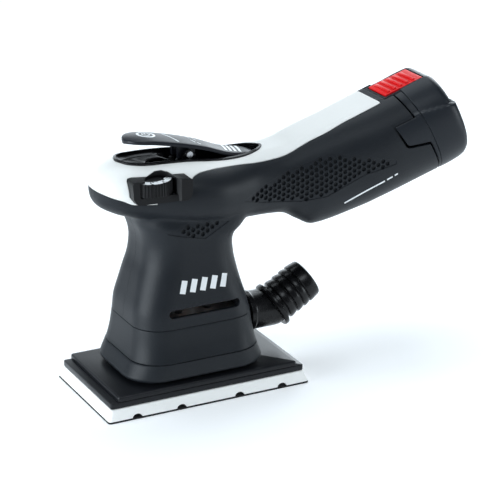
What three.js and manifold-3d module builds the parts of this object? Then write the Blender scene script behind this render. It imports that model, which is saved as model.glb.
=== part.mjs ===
// A cordless palm sander: an orbiting rectangular pad, an upright motor housing, a handle
// that climbs to the rear and a slide-in battery. Sizes are in millimetres, +Z is up,
// +X points to the battery and -Y is the side with the speed dial.
// The origin is the centre of the pad's underside.

import * as THREE from "three";
import { mergeVertices } from "three/addons/utils/BufferGeometryUtils.js";
import Module from "manifold-3d";

const wasm = await Module();
wasm.setup();

// Clearances
const seatGap = 0.3; // between pieces that rest on each other
const turnGap = 0.05; // radial, where a shaft turns in a bore

// Pad and plates, from the floor up
const padLength = 133.2;
const padWidth = 78.8;
const plateLength = 128;
const plateWidth = 73.6;
const plateLedge = 4.9; // how far the upper plate stands back at each short end
const hookThickness = 0.8;
const foamThickness = 6.6;
const lowerPlateThickness = 3.6;
const upperPlateThickness = 3;
const notchPitch = 27.5;
const notchWidth = 6.5;
const notchHeight = 2;
const notchDepth = 9;

// Housing heights
const skirtRise = 2.6;
const skirtHeight = 10.5;
const ringHeight = 19.7;
const neckHeight = 70;
const wall = 2.6;

// Drive
const orbitRadius = 1.5;
const padBearingRadius = 14;
const padBearingBore = 6;
const padBearingHeight = 8;
const motorBearingRadius = 11;
const motorBearingHeight = 7;
const motorShaftRadius = 4;
const statorRadius = 22.5;
const statorBore = 14.2;
const statorHeight = 36.5;
const rotorAirGap = 0.9;
const fanRadius = 24.5;
const counterweightRadius = 23.5;

// Handle
const handleSlope = 17.5; // degrees
const handleTop = 117.9; // across the handle's axis, from the origin
const handleBottom = 58.5;
const rimTilt = 0.17; // how far the rear rim leans back for each millimetre down
const rimAlong = 180;

// Battery
const cellRadius = 9.2;
const cellLength = 65;
const batteryWall = 2;

// Lever
const leverPivotX = 1.5;
const leverPivotZ = 147.5;
const leverThickness = 2.4;
const leverPinRadius = 2;

// Speed dial
const dialX = -28.5;
const dialY = -19;
const dialRadius = 14;
const dialBottom = 134;
const dialHeight = 7;

// Dust nozzle
const nozzleHeight = 37.5;
const nozzleTubeRadius = 12;
const nozzlePlugRadius = 8.4;
const nozzlePlugBore = 7;
const nozzleBore = 9.6;
const nozzleFlangeRadius = 15;
const nozzleRise = 30.7; // degrees
const nozzleElbowX = 60.5;
const nozzleSpigotLength = 29.5;
const nozzleEndRadius = 13;

// Heights worked out from the stack
const foamBottom = hookThickness + seatGap;
const foamTop = foamBottom + foamThickness;
const lowerPlateBottom = foamTop + seatGap;
const lowerPlateTop = lowerPlateBottom + lowerPlateThickness;
const upperPlateBottom = lowerPlateTop + seatGap;
const upperPlateTop = upperPlateBottom + upperPlateThickness;
const skirtBottom = upperPlateTop + skirtRise;
const skirtTop = skirtBottom + skirtHeight;
const ringBottom = skirtTop + seatGap;
const ringTop = ringBottom + ringHeight;
const neckBottom = ringTop + seatGap;
const motorX = -orbitRadius; // the pad's centre sits over the origin at rest

// Plastics and metals
const looks = {
  shellPlastic: [0x1b1f26, 0.5, 0],
  coverPlastic: [0xe9ecee, 0.4, 0],
  blackPlastic: [0x0e0f11, 0.4, 0],
  glossPlastic: [0x08090b, 0.2, 0],
  redPlastic: [0xd8161b, 0.35, 0],
  foam: [0xf1f1ee, 0.9, 0],
  hook: [0x2a2a2b, 1, 0],
  platePlastic: [0x101113, 0.35, 0],
  steel: [0xb9bdc2, 0.3, 1],
  darkSteel: [0x55585c, 0.4, 1],
  aluminium: [0xc4c8cb, 0.35, 1],
  copper: [0xa8683a, 0.4, 1],
  board: [0x1c5a33, 0.5, 0],
  rubber: [0x151515, 0.85, 0],
  cellWrap: [0x2f7fb5, 0.35, 0],
};

// Geometry to solid and back

function toSolid(geometry) {
  geometry.deleteAttribute("normal");
  geometry.deleteAttribute("uv");
  const merged = mergeVertices(geometry, 1e-4);
  const vertProperties = new Float32Array(merged.attributes.position.array);
  const triVerts = new Uint32Array(merged.index.array);
  return new wasm.Manifold(new wasm.Mesh({ numProp: 3, vertProperties, triVerts }));
}

function toGeometry(solid) {
  const { vertProperties, triVerts } = solid.getMesh();
  const geometry = new THREE.BufferGeometry();
  geometry.setAttribute("position", new THREE.BufferAttribute(new Float32Array(vertProperties), 3));
  geometry.setIndex(new THREE.BufferAttribute(new Uint32Array(triVerts), 1));
  geometry.computeVertexNormals();
  return geometry;
}

function addNode(parent, name, solid, look) {
  const [color, roughness, metalness] = looks[look];
  const material = new THREE.MeshStandardMaterial({ color, roughness, metalness });
  const mesh = new THREE.Mesh(toGeometry(solid), material);
  mesh.name = name;
  parent.add(mesh);
}

// Basic solids, each by its limits

function block(x0, x1, y0, y1, z0, z1) {
  const geometry = new THREE.BoxGeometry(x1 - x0, y1 - y0, z1 - z0);
  return toSolid(geometry.translate((x0 + x1) / 2, (y0 + y1) / 2, (z0 + z1) / 2));
}

function upright(radius, z0, z1, x = 0, y = 0, sides = 24, topRadius = radius) {
  const geometry = new THREE.CylinderGeometry(topRadius, radius, z1 - z0, sides);
  return toSolid(geometry.rotateX(Math.PI / 2).translate(x, y, (z0 + z1) / 2));
}

function crosswise(radius, y0, y1, x, z, sides = 12) {
  const geometry = new THREE.CylinderGeometry(radius, radius, y1 - y0, sides);
  return toSolid(geometry.translate(x, (y0 + y1) / 2, z));
}

function ringSolid(outer, inner, z0, z1, x = 0, y = 0, sides = 24) {
  return upright(outer, z0, z1, x, y, sides).subtract(upright(inner, z0 - 1, z1 + 1, x, y, sides));
}

// An outline in the XZ plane, run across the object between two values of y
function sidewaysPrism(points, y0, y1) {
  const shape = new THREE.Shape(points.map(([x, z]) => new THREE.Vector2(x, z)));
  const geometry = new THREE.ExtrudeGeometry(shape, { depth: y1 - y0, bevelEnabled: false });
  return toSolid(geometry.rotateX(Math.PI / 2).translate(0, y1, 0));
}

// An outline in the XY plane, run upwards between two heights
function uprightPrism(shape, z0, z1, curveSegments = 4) {
  const options = { depth: z1 - z0, bevelEnabled: false, curveSegments };
  return toSolid(new THREE.ExtrudeGeometry(shape, options).translate(0, 0, z0));
}

function roundedRectangle(length, width, radius) {
  const shape = new THREE.Shape();
  const [x, y] = [length / 2 - radius, width / 2 - radius];
  shape.absarc(x, y, radius, 0, Math.PI / 2);
  shape.absarc(-x, y, radius, Math.PI / 2, Math.PI);
  shape.absarc(-x, -y, radius, Math.PI, 1.5 * Math.PI);
  shape.absarc(x, -y, radius, 1.5 * Math.PI, 2 * Math.PI);
  return shape;
}

// A skin through a row of closed rings with equal counts, capped at both ends
function loft(rings) {
  const count = rings[0].length;
  const points = rings.flat();
  const triangles = [];
  for (let r = 0; r < rings.length - 1; r++) {
    for (let k = 0; k < count; k++) {
      const next = (k + 1) % count;
      const [a, b] = [r * count + k, r * count + next];
      triangles.push(a, b, b + count, a, b + count, a + count);
    }
  }
  [0, rings.length - 1].forEach((r) => {
    const middle = new THREE.Vector3();
    rings[r].forEach((p) => middle.addScaledVector(p, 1 / count));
    points.push(middle);
    for (let k = 0; k < count; k++) {
      const [a, b] = [r * count + k, r * count + ((k + 1) % count)];
      triangles.push(...(r === 0 ? [points.length - 1, b, a] : [points.length - 1, a, b]));
    }
  });
  const geometry = new THREE.BufferGeometry().setFromPoints(points);
  geometry.setIndex(triangles);
  const solid = toSolid(geometry);
  return solid.volume() > 0 ? solid : toSolid(geometry.setIndex(triangles.reverse()));
}

// A level ring with straight sides and round corners
function levelRing(z, front, rear, halfWidth, corner, perCorner = 5) {
  const ring = [];
  const corners = [
    [rear - corner, halfWidth - corner, 0],
    [front + corner, halfWidth - corner, 90],
    [front + corner, corner - halfWidth, 180],
    [rear - corner, corner - halfWidth, 270],
  ];
  corners.forEach(([x, y, start]) => {
    for (let k = 0; k < perCorner; k++) {
      const angle = THREE.MathUtils.degToRad(start + (90 * k) / (perCorner - 1));
      ring.push(new THREE.Vector3(x + corner * Math.cos(angle), y + corner * Math.sin(angle), z));
    }
  });
  return ring;
}

// A handle section between its top and bottom points: a superellipse, cut flat above and below
function handleRing([topX, topZ], [bottomX, bottomZ], halfWidth, crown, count = 26) {
  const ring = [];
  const power = 2.4;
  for (let k = 0; k < count; k++) {
    const angle = (2 * Math.PI * k) / count;
    const [c, s] = [Math.cos(angle), Math.sin(angle)];
    const across = Math.sign(c) * Math.abs(c) ** (2 / power) * halfWidth;
    const up = Math.sign(s) * Math.min(1, Math.abs(s) ** (2 / power) / crown);
    const [x, z] = [topX + bottomX + up * (topX - bottomX), topZ + bottomZ + up * (topZ - bottomZ)];
    ring.push(new THREE.Vector3(x / 2, across, z / 2));
  }
  return ring;
}

// From along and across the sloping handle to x and z
function handlePoint(along, across) {
  const slope = THREE.MathUtils.degToRad(handleSlope);
  const [c, s] = [Math.cos(slope), Math.sin(slope)];
  return [along * c - across * s, along * s + across * c];
}

// Turns a solid drawn level, with x along the handle, into the handle's slope
function sloped(solid) {
  return solid.rotate([0, -handleSlope, 0]);
}

// The handle's sections: top point, bottom point, half width and crown, from the nose back
const headSections = [
  [[-57, 132.5], [-57, 127.5], 3, 1],
  [[-56.3, 138], [-55.7, 124], 8, 1],
  [[-54, 142], [-53, 121], 12, 1],
  [[-50, 144.8], [-48.5, 118.3], 16.5, 1],
  [[-44.5, 146.8], [-43.5, 116], 20.5, 1],
  [[-37, 148], [-37, 114], 24.3, 1],
  [[-28, 147.8], [-28, 111.5], 27.6, 1],
  [[-14, 147.2], [-14, 108], 31.2, 1],
  [[0, 146], [0, 106], 33.5, 1],
  [[12, 144.4], [12, 104.2], 33.2, 1],
  [[25, 143.2], [25, 102.8], 29.7, 1],
  [[40, 142.7], [40, 102.6], 25, 0.98],
  [[55, 143.2], [55, 102.4], 23.5, 0.96],
  [[66, 144.8], [64, 101.3], 23.6, 0.95],
  [[75, 148], [73, 96.2], 24.1, 0.943],
  [[85, 151], [83.5, 91.8], 25.4, 0.943],
];
const tailSections = [
  [141, 141, 27],
  [152, 152, 28.6],
  [165, 165, 29.6],
];

function handleLoft(grow, extra = 0) {
  const shrink = ([topX, topZ], [bottomX, bottomZ]) => {
    const length = Math.hypot(topX - bottomX, topZ - bottomZ);
    const [dx, dz] = [((topX - bottomX) / length) * grow, ((topZ - bottomZ) / length) * grow];
    return [[topX + dx, topZ + dz], [bottomX - dx, bottomZ - dz]];
  };
  const noseShift = (index) => (grow < 0 ? Math.max(0, 1 - index / 5) * -grow : 0);
  const rings = headSections
    .slice(grow < -1 ? 1 : 0)
    .map(([top, bottom, halfWidth, crown], index) => {
      const [t, b] = shrink(top, bottom);
      t[0] += noseShift(index);
      b[0] += noseShift(index);
      return handleRing(t, b, halfWidth + grow, crown);
    });
  const rim = rimAlong + extra;
  const rimLean = rimTilt * (handleTop - handleBottom);
  [...tailSections, [rim, rim + rimLean, 30]].forEach(([topAlong, bottomAlong, halfWidth]) => {
    const top = handlePoint(topAlong, handleTop + grow);
    const bottom = handlePoint(bottomAlong, handleBottom - grow);
    rings.push(handleRing(top, bottom, halfWidth + grow, 0.943));
  });
  return loft(rings);
}

// The neck's sections: height above its foot, front, rear, half width and corner radius
const neckSections = [
  [0, -39.4, 37, 31, 18],
  [9.5, -38.4, 34.6, 30.3, 18],
  [19, -35.9, 31.9, 29.3, 18.5],
  [28, -33.4, 29.8, 28.4, 19],
  [37, -30.7, 28.2, 27.7, 19.5],
  [46, -29.6, 28, 27.4, 20],
  [51, -29.8, 30, 27.4, 20],
  [55, -30.6, 34.5, 27.6, 20],
  [62, -33, 40, 27, 20],
  [neckHeight, -34, 44, 23, 18],
];

function neckLoft(grow, drop = 0) {
  return loft(
    neckSections.map(([rise, front, rear, halfWidth, corner], index) => {
      const z = neckBottom + rise - (index === 0 ? drop : 0);
      return levelRing(z, front - grow, rear + grow, halfWidth + grow, corner + grow);
    }),
  );
}

// Where the light cover meets the dark shells, seen from the side
const coverSeam = [
  [-60, 142.5],
  [-57, 141],
  [-51, 139],
  [-46, 137],
  [-40, 134.4],
  [-6, 134.4],
  [-2, 136],
  [1, 139.4],
  [57, 140],
  [63.5, 142.4],
  [70, 146],
];
const coverEndAlong = 169.5;

// The space the cover takes, made bigger by `grow` to cut the shells back from it
function coverRoom(grow) {
  const above = coverSeam.map(([x, z]) => [x, z - grow]);
  above[0][0] -= grow;
  const last = above[above.length - 1][0];
  const side = sidewaysPrism([...above, [last, 180], [above[0][0], 180]], -45, 45);
  const rearX = handlePoint(coverEndAlong, handleTop)[0];
  const plan = [[61, 20.8], [73, 17.5], [90, 16], [rearX + grow, 12.5]];
  const outline = new THREE.Shape();
  outline.moveTo(plan[0][0], plan[0][1] + grow);
  plan.slice(1).forEach(([x, y]) => outline.lineTo(x, y + grow));
  [...plan].reverse().forEach(([x, y]) => outline.lineTo(x, -y - grow));
  const spine = block(-46, 66, -15 - grow, 15 + grow, 132 - grow, 180);
  return side.add(uprightPrism(outline, 141 - grow, 180)).add(spine);
}

// The leaf outline of the lever's tray, seen from above; `inset` draws it smaller
const trayHalfOutline = [
  [-41, 3.5],
  [-38, 8],
  [-32, 11.4],
  [-22, 12.8],
  [0, 13],
  [20, 12],
  [36, 10.6],
  [46, 7.6],
  [51.5, 3.2],
];
const trayTipX = -42;
const trayTailX = 53.5;

function trayOutline(inset) {
  const near = trayHalfOutline.map(([x, y]) => {
    const towards = THREE.MathUtils.clamp(x, trayTipX + 8, trayTailX - 8);
    const reach = Math.hypot(x - towards, y) || 1;
    return new THREE.Vector2(x - ((x - towards) / reach) * inset, y - (y / reach) * inset);
  });
  const far = near.map((p) => new THREE.Vector2(p.x, -p.y)).reverse();
  const tip = new THREE.Vector2(trayTipX + inset, 0);
  const tail = new THREE.Vector2(trayTailX - inset, 0);
  const closed = [tip, ...near, tail, ...far].map((p) => new THREE.Vector3(p.x, p.y, 0));
  const curve = new THREE.CatmullRomCurve3(closed, true, "centripetal");
  return new THREE.Shape(curve.getPoints(44).slice(0, -1).map((p) => new THREE.Vector2(p.x, p.y)));
}

// The lever's sections: x, height of its centre line and half width
const leverSections = [
  [-36.6, 159, 1.5],
  [-35.4, 159.4, 5],
  [-32.5, 159.6, 8.4],
  [-28, 159.5, 10.4],
  [-22, 158.9, 11.2],
  [-8, 156.6, 11.2],
  [leverPivotX, 154.7, 11],
  [13, 151.4, 10.6],
  [20, 148.6, 10.2],
  [27, 145.8, 9.6],
  [34, 144, 8.8],
  [42, 142.7, 6.8],
  [47, 141.2, 4.6],
  [50.4, 139.9, 1.5],
];

function leverPlate(below = 0, above = 0, spread = 0) {
  const steps = 5;
  const rings = leverSections.map(([x, z, halfWidth]) => {
    const crownDrop = 2.2 * (halfWidth / 11.2) ** 2;
    const upper = [];
    for (let k = 0; k <= steps; k++) {
      const across = 1 - (2 * k) / steps;
      const drop = crownDrop * across * across;
      upper.push(new THREE.Vector3(x, across * (halfWidth + spread), z - drop));
    }
    const lower = upper.map((p) => new THREE.Vector3(p.x, p.y, p.z - leverThickness - below));
    upper.forEach((p) => (p.z += above));
    return [...upper, ...lower.reverse()];
  });
  return loft(rings);
}

// The two faces of the dial's frame: seen from the side, and the flat front seen from above
const bezelOutline = [
  [-44, 146], [-44.5, 141], [-41.5, 128.4], [-40, 128], [-11, 129.4], [-9.5, 131],
  [-9, 144.5], [-11, 146], [-18, 146], [-21, 148.4], [-28, 149.6], [-34, 148.4], [-37, 146],
];

function bezelRoom(grow, innerY) {
  const middle = new THREE.Vector2(dialX + 2, 138);
  const outline = bezelOutline.map(([x, z]) => {
    const away = new THREE.Vector2(x, z).sub(middle);
    return away.setLength(away.length() + grow).add(middle).toArray();
  });
  return sidewaysPrism(outline, -45, innerY);
}

function bezelFace() {
  const outline = [[-45, -20], [-45, -27], [-8, -33.8], [-8, -26]];
  const shape = new THREE.Shape(outline.map(([x, y]) => new THREE.Vector2(x, y)));
  return uprightPrism(shape, 128, 146);
}

// Screws that hold the two shells together: x, z
const shellScrews = [
  [-30.5, 58], [25.5, 58], [-43.5, 127], [58, 122], handlePoint(122, 72),
];
const screwShank = 1.5;
const screwHead = 3;
const screwSeat = 9; // the y at which the heads sit in the right shell
const bossRadius = 4;

// Pad

const padCorner = 2;
const plateCorner = 1.6;

function makeHookLayer() {
  return uprightPrism(roundedRectangle(padLength, padWidth, padCorner), 0, hookThickness);
}

function makePadFoam() {
  const half = (length, width, z) =>
    levelRing(z, -length / 2, length / 2, width / 2, padCorner, 4);
  let foam = loft([half(padLength, padWidth, foamBottom), half(plateLength, plateWidth, foamTop)]);
  [-1.75, -0.7, 0.7, 1.75].forEach((step) => {
    [-1, 1].forEach((side) => {
      const round = crosswise(notchWidth / 2, -notchDepth, 2, 0, 0, 12);
      const notch = round.scale([1, -side, (2 * notchHeight) / notchWidth]);
      foam = foam.subtract(notch.translate([step * notchPitch, (side * padWidth) / 2, foamBottom]));
    });
  });
  return foam;
}

const padScrewCircle = 20.4;
const padScrewRadius = 2;
const hubFlangeThickness = 3;
const hubFlangeTop = upperPlateTop + seatGap + hubFlangeThickness;
const hubBottom = upperPlateTop + seatGap;
const padBearingBottom = hubFlangeTop + seatGap;
const hubTop = padBearingBottom + padBearingHeight + 0.6;
const padScrewAngles = [45, 135, 225, 315];

function padScrewPlace(angle) {
  const turn = THREE.MathUtils.degToRad(angle);
  return [padScrewCircle * Math.cos(turn), padScrewCircle * Math.sin(turn)];
}

function withPadScrewHoles(solid, z0, z1) {
  return padScrewAngles.reduce((cut, angle) => {
    const [x, y] = padScrewPlace(angle);
    return cut.subtract(upright(padScrewRadius + seatGap, z0 - 1, z1 + 1, x, y, 12));
  }, solid);
}

function makeLowerPlate() {
  const outline = roundedRectangle(plateLength, plateWidth, plateCorner);
  const plate = uprightPrism(outline, lowerPlateBottom, lowerPlateTop);
  return withPadScrewHoles(plate, lowerPlateBottom, lowerPlateTop);
}

function makeUpperPlate() {
  const ring = (z, inset) => {
    const end = plateLength / 2 - plateLedge - inset;
    return levelRing(z, -end, end, plateWidth / 2 - inset / 2, plateCorner, 4);
  };
  const plate = loft([ring(upperPlateBottom, 0), ring(upperPlateTop - 1, 0), ring(upperPlateTop, 1)]);
  return withPadScrewHoles(plate, upperPlateBottom, upperPlateTop);
}

function makePadHub() {
  const flange = upright(padScrewCircle + 4.4, hubBottom, hubFlangeTop, 0, 0, 32);
  const cup = upright(padBearingRadius + 2.4, hubBottom, hubTop, 0, 0, 32);
  const pocket = upright(padBearingRadius + seatGap, hubFlangeTop, hubTop + 1, 0, 0, 32);
  return withPadScrewHoles(flange.add(cup).subtract(pocket), hubBottom, hubFlangeTop);
}

function makePadScrew(angle) {
  const [x, y] = padScrewPlace(angle);
  const shank = upright(padScrewRadius, lowerPlateBottom + 0.6, hubFlangeTop + 1, x, y, 12);
  const head = upright(3.3, hubFlangeTop + seatGap, hubFlangeTop + seatGap + 2.4, x, y, 12);
  const socket = upright(1.5, hubFlangeTop + 1.2, hubFlangeTop + 5, x, y, 6);
  return shank.add(head).subtract(socket);
}

function makePadBearing() {
  const top = padBearingBottom + padBearingHeight;
  return ringSolid(padBearingRadius, padBearingBore + turnGap, padBearingBottom, top, 0, 0, 32);
}

// Drive

const counterweightBottom = hubTop + 1.2;
const counterweightHeight = 6;
const counterweightTop = counterweightBottom + counterweightHeight;
const fanBottom = counterweightTop + seatGap + 1.5;
const fanHeight = 9;
const motorPlateBottom = neckBottom + 1.8;
const lowerBearingBottom = motorPlateBottom + seatGap;
const collarTop = lowerBearingBottom + motorBearingHeight + 2.4;
const statorBottom = collarTop + seatGap;
const statorTop = statorBottom + statorHeight;
const bellBottom = statorTop + seatGap;
const upperBearingBottom = bellBottom + 3.5;
const upperBearingTop = upperBearingBottom + motorBearingHeight;

function makeEccentric() {
  const pin = upright(padBearingBore, padBearingBottom + 0.8, counterweightBottom, 0, 0, 32);
  const shoulderRadius = padBearingBore + 2.2;
  const shoulder = upright(shoulderRadius, counterweightBottom - 0.9, counterweightBottom + 1, 0, 0, 32);
  const disc = upright(counterweightRadius, counterweightBottom, counterweightTop, motorX, 0, 32);
  const heavyHalf = disc.subtract(block(motorX + 3, 40, -40, 40, 0, 60));
  const hub = upright(9, counterweightBottom, counterweightTop, motorX, 0, 32);
  const holeRadius = motorShaftRadius + seatGap;
  const shaftHole = upright(holeRadius, counterweightBottom + 1, counterweightTop + 1, motorX);
  return pin.add(shoulder).add(heavyHalf).add(hub).subtract(shaftHole);
}

function makeFan() {
  const hub = upright(8, fanBottom, fanBottom + fanHeight, motorX);
  const disc = upright(fanRadius, fanBottom, fanBottom + 1.4, motorX, 0, 32);
  const bladeCount = 11;
  let fan = hub.add(disc);
  for (let k = 0; k < bladeCount; k++) {
    const blade = block(6, fanRadius - 0.6, -0.7, 0.7, fanBottom + 0.5, fanBottom + fanHeight - 1);
    fan = fan.add(blade.rotate([0, 0, (360 * k) / bladeCount]).translate([motorX, 0, 0]));
  }
  return fan.subtract(upright(motorShaftRadius + seatGap, fanBottom - 1, fanBottom + fanHeight + 1, motorX));
}

function makeRotor() {
  const shaft = upright(motorShaftRadius, counterweightBottom + 1.3, upperBearingTop + 1.5, motorX);
  const core = upright(statorBore - rotorAirGap, statorBottom + 1.5, statorTop - 1.5, motorX, 0, 30);
  return shaft.add(core);
}

function makeMotorBearing(bottom) {
  const top = bottom + motorBearingHeight;
  return ringSolid(motorBearingRadius, motorShaftRadius + turnGap, bottom, top, motorX);
}

function makeMotorPlate() {
  const thickness = 3;
  const slice = block(-60, 60, -60, 60, motorPlateBottom, motorPlateBottom + thickness);
  const plate = neckLoft(-wall - seatGap, 5).intersect(slice);
  const collar = upright(motorBearingRadius + 3, motorPlateBottom, collarTop, motorX);
  const pocket = upright(motorBearingRadius + seatGap, motorPlateBottom - 1, collarTop - 2.1, motorX);
  const passage = upright(motorShaftRadius + 2, motorPlateBottom - 1, collarTop + 1, motorX);
  const vents = [60, 120, 240, 300].map((angle) => {
    const turn = THREE.MathUtils.degToRad(angle);
    return upright(3.2, 40, 70, motorX + 19.5 * Math.cos(turn), 19.5 * Math.sin(turn), 12);
  });
  const vented = vents.reduce((cut, vent) => cut.subtract(vent), plate.add(collar));
  return vented.subtract(pocket).subtract(passage);
}

function makeStator() {
  const slots = 9;
  let stator = ringSolid(statorRadius, statorBore, statorBottom, statorTop, motorX, 0, 30);
  for (let k = 0; k < slots; k++) {
    const slot = block(statorBore - 2, statorRadius - 3, -1.4, 1.4, statorBottom - 1, statorTop + 1);
    stator = stator.subtract(slot.rotate([0, 0, (360 * k) / slots]).translate([motorX, 0, 0]));
  }
  return stator;
}

function makeEndBell() {
  const disc = upright(statorRadius, bellBottom, bellBottom + 3.2, motorX, 0, 30);
  const collar = upright(motorBearingRadius + 2.4, bellBottom, upperBearingTop + seatGap, motorX);
  const pocket = upright(motorBearingRadius + seatGap, bellBottom + 3.2, upperBearingTop + 2, motorX);
  const passage = upright(motorShaftRadius + 2, bellBottom - 1, upperBearingTop + 2, motorX);
  return disc.add(collar).subtract(pocket).subtract(passage);
}

function makeControlBoard() {
  const bottom = upperBearingTop + 2 * seatGap;
  const thickness = 1.6;
  const top = bottom + thickness;
  const board = block(-20, 22, -17, 17, bottom, top);
  const choke = upright(4.5, top - 0.5, top + 9, 12, 8, 20);
  const driver = block(-14, -4, -12, -3, top - 0.5, top + 3);
  const plug = block(10, 20, -14, -6, top - 0.5, top + 6);
  const shaftHole = upright(motorShaftRadius + 1, bottom - 1, top + 1, motorX, 0, 20);
  return board.subtract(shaftHole).add(choke).add(driver).add(plug);
}

// Lower housing

function ringWall(sections, grow) {
  return loft(
    sections.map(([z, front, rear, halfWidth, corner]) =>
      levelRing(z, front - grow, rear + grow, halfWidth + grow, corner + grow),
    ),
  );
}

function hollowWall(sections) {
  const inner = sections.map((section) => [...section]);
  inner[0][0] -= 1;
  inner[inner.length - 1][0] += 1;
  return ringWall(sections, 0).subtract(ringWall(inner, -wall));
}

const skirtMiddle = skirtBottom + 0.8 * skirtHeight;
const skirtSections = [
  [skirtBottom, -46.2, 42.8, 34.8, 20],
  [skirtBottom + 1.4, -47, 43.5, 35.5, 20.5],
  [skirtMiddle, -44, 41, 35.5, 20.5],
  [skirtTop, -43, 40.3, 35.3, 20],
];
const ringMiddle = ringBottom + ringHeight / 2;
const ringSections = [
  [ringBottom, -42.5, 40, 35, 20],
  [ringBottom + 3, -41.9, 39.4, 34.2, 19.5],
  [ringMiddle, -40.6, 38.2, 32.4, 18.6],
  [ringTop, -39.4, 37, 31, 18],
];
const postOffset = { x: 29.5, y: 21, radius: 5 };
const postSockets = [[-1, -1], [-1, 1], [1, -1], [1, 1]];
const postTop = ringBottom + 1.6;

function makeSkirt() {
  return hollowWall(skirtSections);
}

function makeHousingRing() {
  let ring = hollowWall(ringSections);
  const outside = ringWall(ringSections, 0);
  postSockets.forEach(([sideX, sideY]) => {
    const [x, y] = [motorX + sideX * postOffset.x, sideY * postOffset.y];
    const boss = upright(postOffset.radius + 1.4, postTop + seatGap, ringTop, x, y, 20);
    ring = ring.add(boss.intersect(outside));
  });
  const hole = lengthwise(nozzlePlugRadius + seatGap, 20, 50, nozzleHeight);
  return ring.subtract(hole);
}

function makePost(sideX, sideY) {
  const [x, y] = [motorX + sideX * postOffset.x, sideY * postOffset.y];
  const waist = (upperPlateTop + postTop) / 2;
  const { radius } = postOffset;
  const foot = upright(radius, upperPlateTop + seatGap, waist, x, y, 20, radius - 1.2);
  return foot.add(upright(radius - 1.2, waist - 0.01, postTop, x, y, 20, radius));
}

// A profile of x and radius turned about the x axis
function turnedAlongX(profile) {
  const points = profile.map(([along, radius]) => new THREE.Vector2(radius, along));
  const solid = toSolid(new THREE.LatheGeometry(points, 20).rotateZ(-Math.PI / 2));
  return solid.volume() > 0 ? solid : solid.scale([1, -1, 1]);
}

function lengthwise(radius, x0, x1, z, sides = 20) {
  const geometry = new THREE.CylinderGeometry(radius, radius, x1 - x0, sides);
  return toSolid(geometry.rotateZ(Math.PI / 2).translate((x0 + x1) / 2, 0, z));
}

function ball(radius, x, z) {
  return toSolid(new THREE.SphereGeometry(radius, 20, 10).rotateZ(Math.PI / 2).translate(x, 0, z));
}

const nozzleSeatX = 41.6;
const nozzleStartX = 33.5;

function makeNozzle() {
  const plug = lengthwise(nozzlePlugRadius, nozzleStartX, nozzleSeatX + 2, nozzleHeight);
  const collar = lengthwise(nozzleTubeRadius + 0.6, nozzleSeatX, nozzleSeatX + 3.4, nozzleHeight);
  const tube = lengthwise(nozzleTubeRadius, nozzleSeatX + 2, nozzleElbowX, nozzleHeight);
  const knee = ball(nozzleTubeRadius, nozzleElbowX, nozzleHeight);
  const flange = [[0, nozzleFlangeRadius], [3, nozzleFlangeRadius], [3.6, nozzleTubeRadius]];
  const profile = [[0, 0], ...flange];
  const ridges = 4;
  const first = 6;
  const pitch = (nozzleSpigotLength - first) / ridges;
  for (let k = 0; k < ridges; k++) {
    const from = first + k * pitch;
    profile.push([from, nozzleTubeRadius - 0.2], [from + 0.5, nozzleEndRadius + 0.2]);
    profile.push([from + pitch - 1.4, nozzleEndRadius - 0.5]);
  }
  profile.push([nozzleSpigotLength, nozzleEndRadius - 0.9], [nozzleSpigotLength, 0]);
  const kneePlace = [nozzleElbowX, 0, nozzleHeight];
  const onKnee = (solid) => solid.rotate([0, -nozzleRise, 0]).translate(kneePlace);
  const spigot = onKnee(turnedAlongX(profile));
  const plugBore = lengthwise(nozzlePlugBore, nozzleStartX - 1, nozzleSeatX + 6, nozzleHeight);
  const tubeBore = lengthwise(nozzleBore, nozzleSeatX + 4, nozzleElbowX, nozzleHeight);
  const kneeBore = ball(nozzleBore, nozzleElbowX, nozzleHeight);
  const spigotBore = onKnee(lengthwise(nozzleBore, 0, nozzleSpigotLength + 1, 0));
  const body = plug.add(collar).add(tube).add(knee).add(spigot);
  return body.subtract(plugBore).subtract(tubeBore).subtract(kneeBore).subtract(spigotBore);
}

function makeNozzleSeal() {
  const [x0, x1] = [nozzleSeatX - 1.4, nozzleSeatX - seatGap];
  const outer = lengthwise(nozzlePlugRadius + 0.9, x0, x1, nozzleHeight);
  return outer.subtract(lengthwise(nozzlePlugRadius + turnGap, x0 - 1, x1 + 1, nozzleHeight));
}

// Shells, cover and the pieces let into them

const batteryNotch = { along: 171.5, low: 88.5, high: 111.5 };
const topNotch = { along: 174.5, halfWidth: 13.5 };
const partitionAlong = 128;
const neckSlot = { x0: -22.5, x1: 24.5, z: 57.5, height: 5 };

function outerBody() {
  return handleLoft(0).add(neckLoft(0));
}

function innerBody() {
  return handleLoft(-wall, 12).add(neckLoft(-wall, 5));
}

function motorRib(z) {
  const rib = block(-60, 60, -60, 60, z, z + 2).intersect(neckLoft(-wall / 2));
  return rib.subtract(upright(statorRadius + seatGap, z - 1, z + 3, motorX, 0, 30));
}

function neckSlotCut(side) {
  const { x0, x1, z, height } = neckSlot;
  const [y0, y1] = side < 0 ? [-45, -15] : [15, 45];
  const middle = block(x0 + height / 2, x1 - height / 2, y0, y1, z - height / 2, z + height / 2);
  const end = (x) => crosswise(height / 2, y0, y1, x, z, 12);
  return middle.add(end(x0 + height / 2)).add(end(x1 - height / 2));
}

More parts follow.
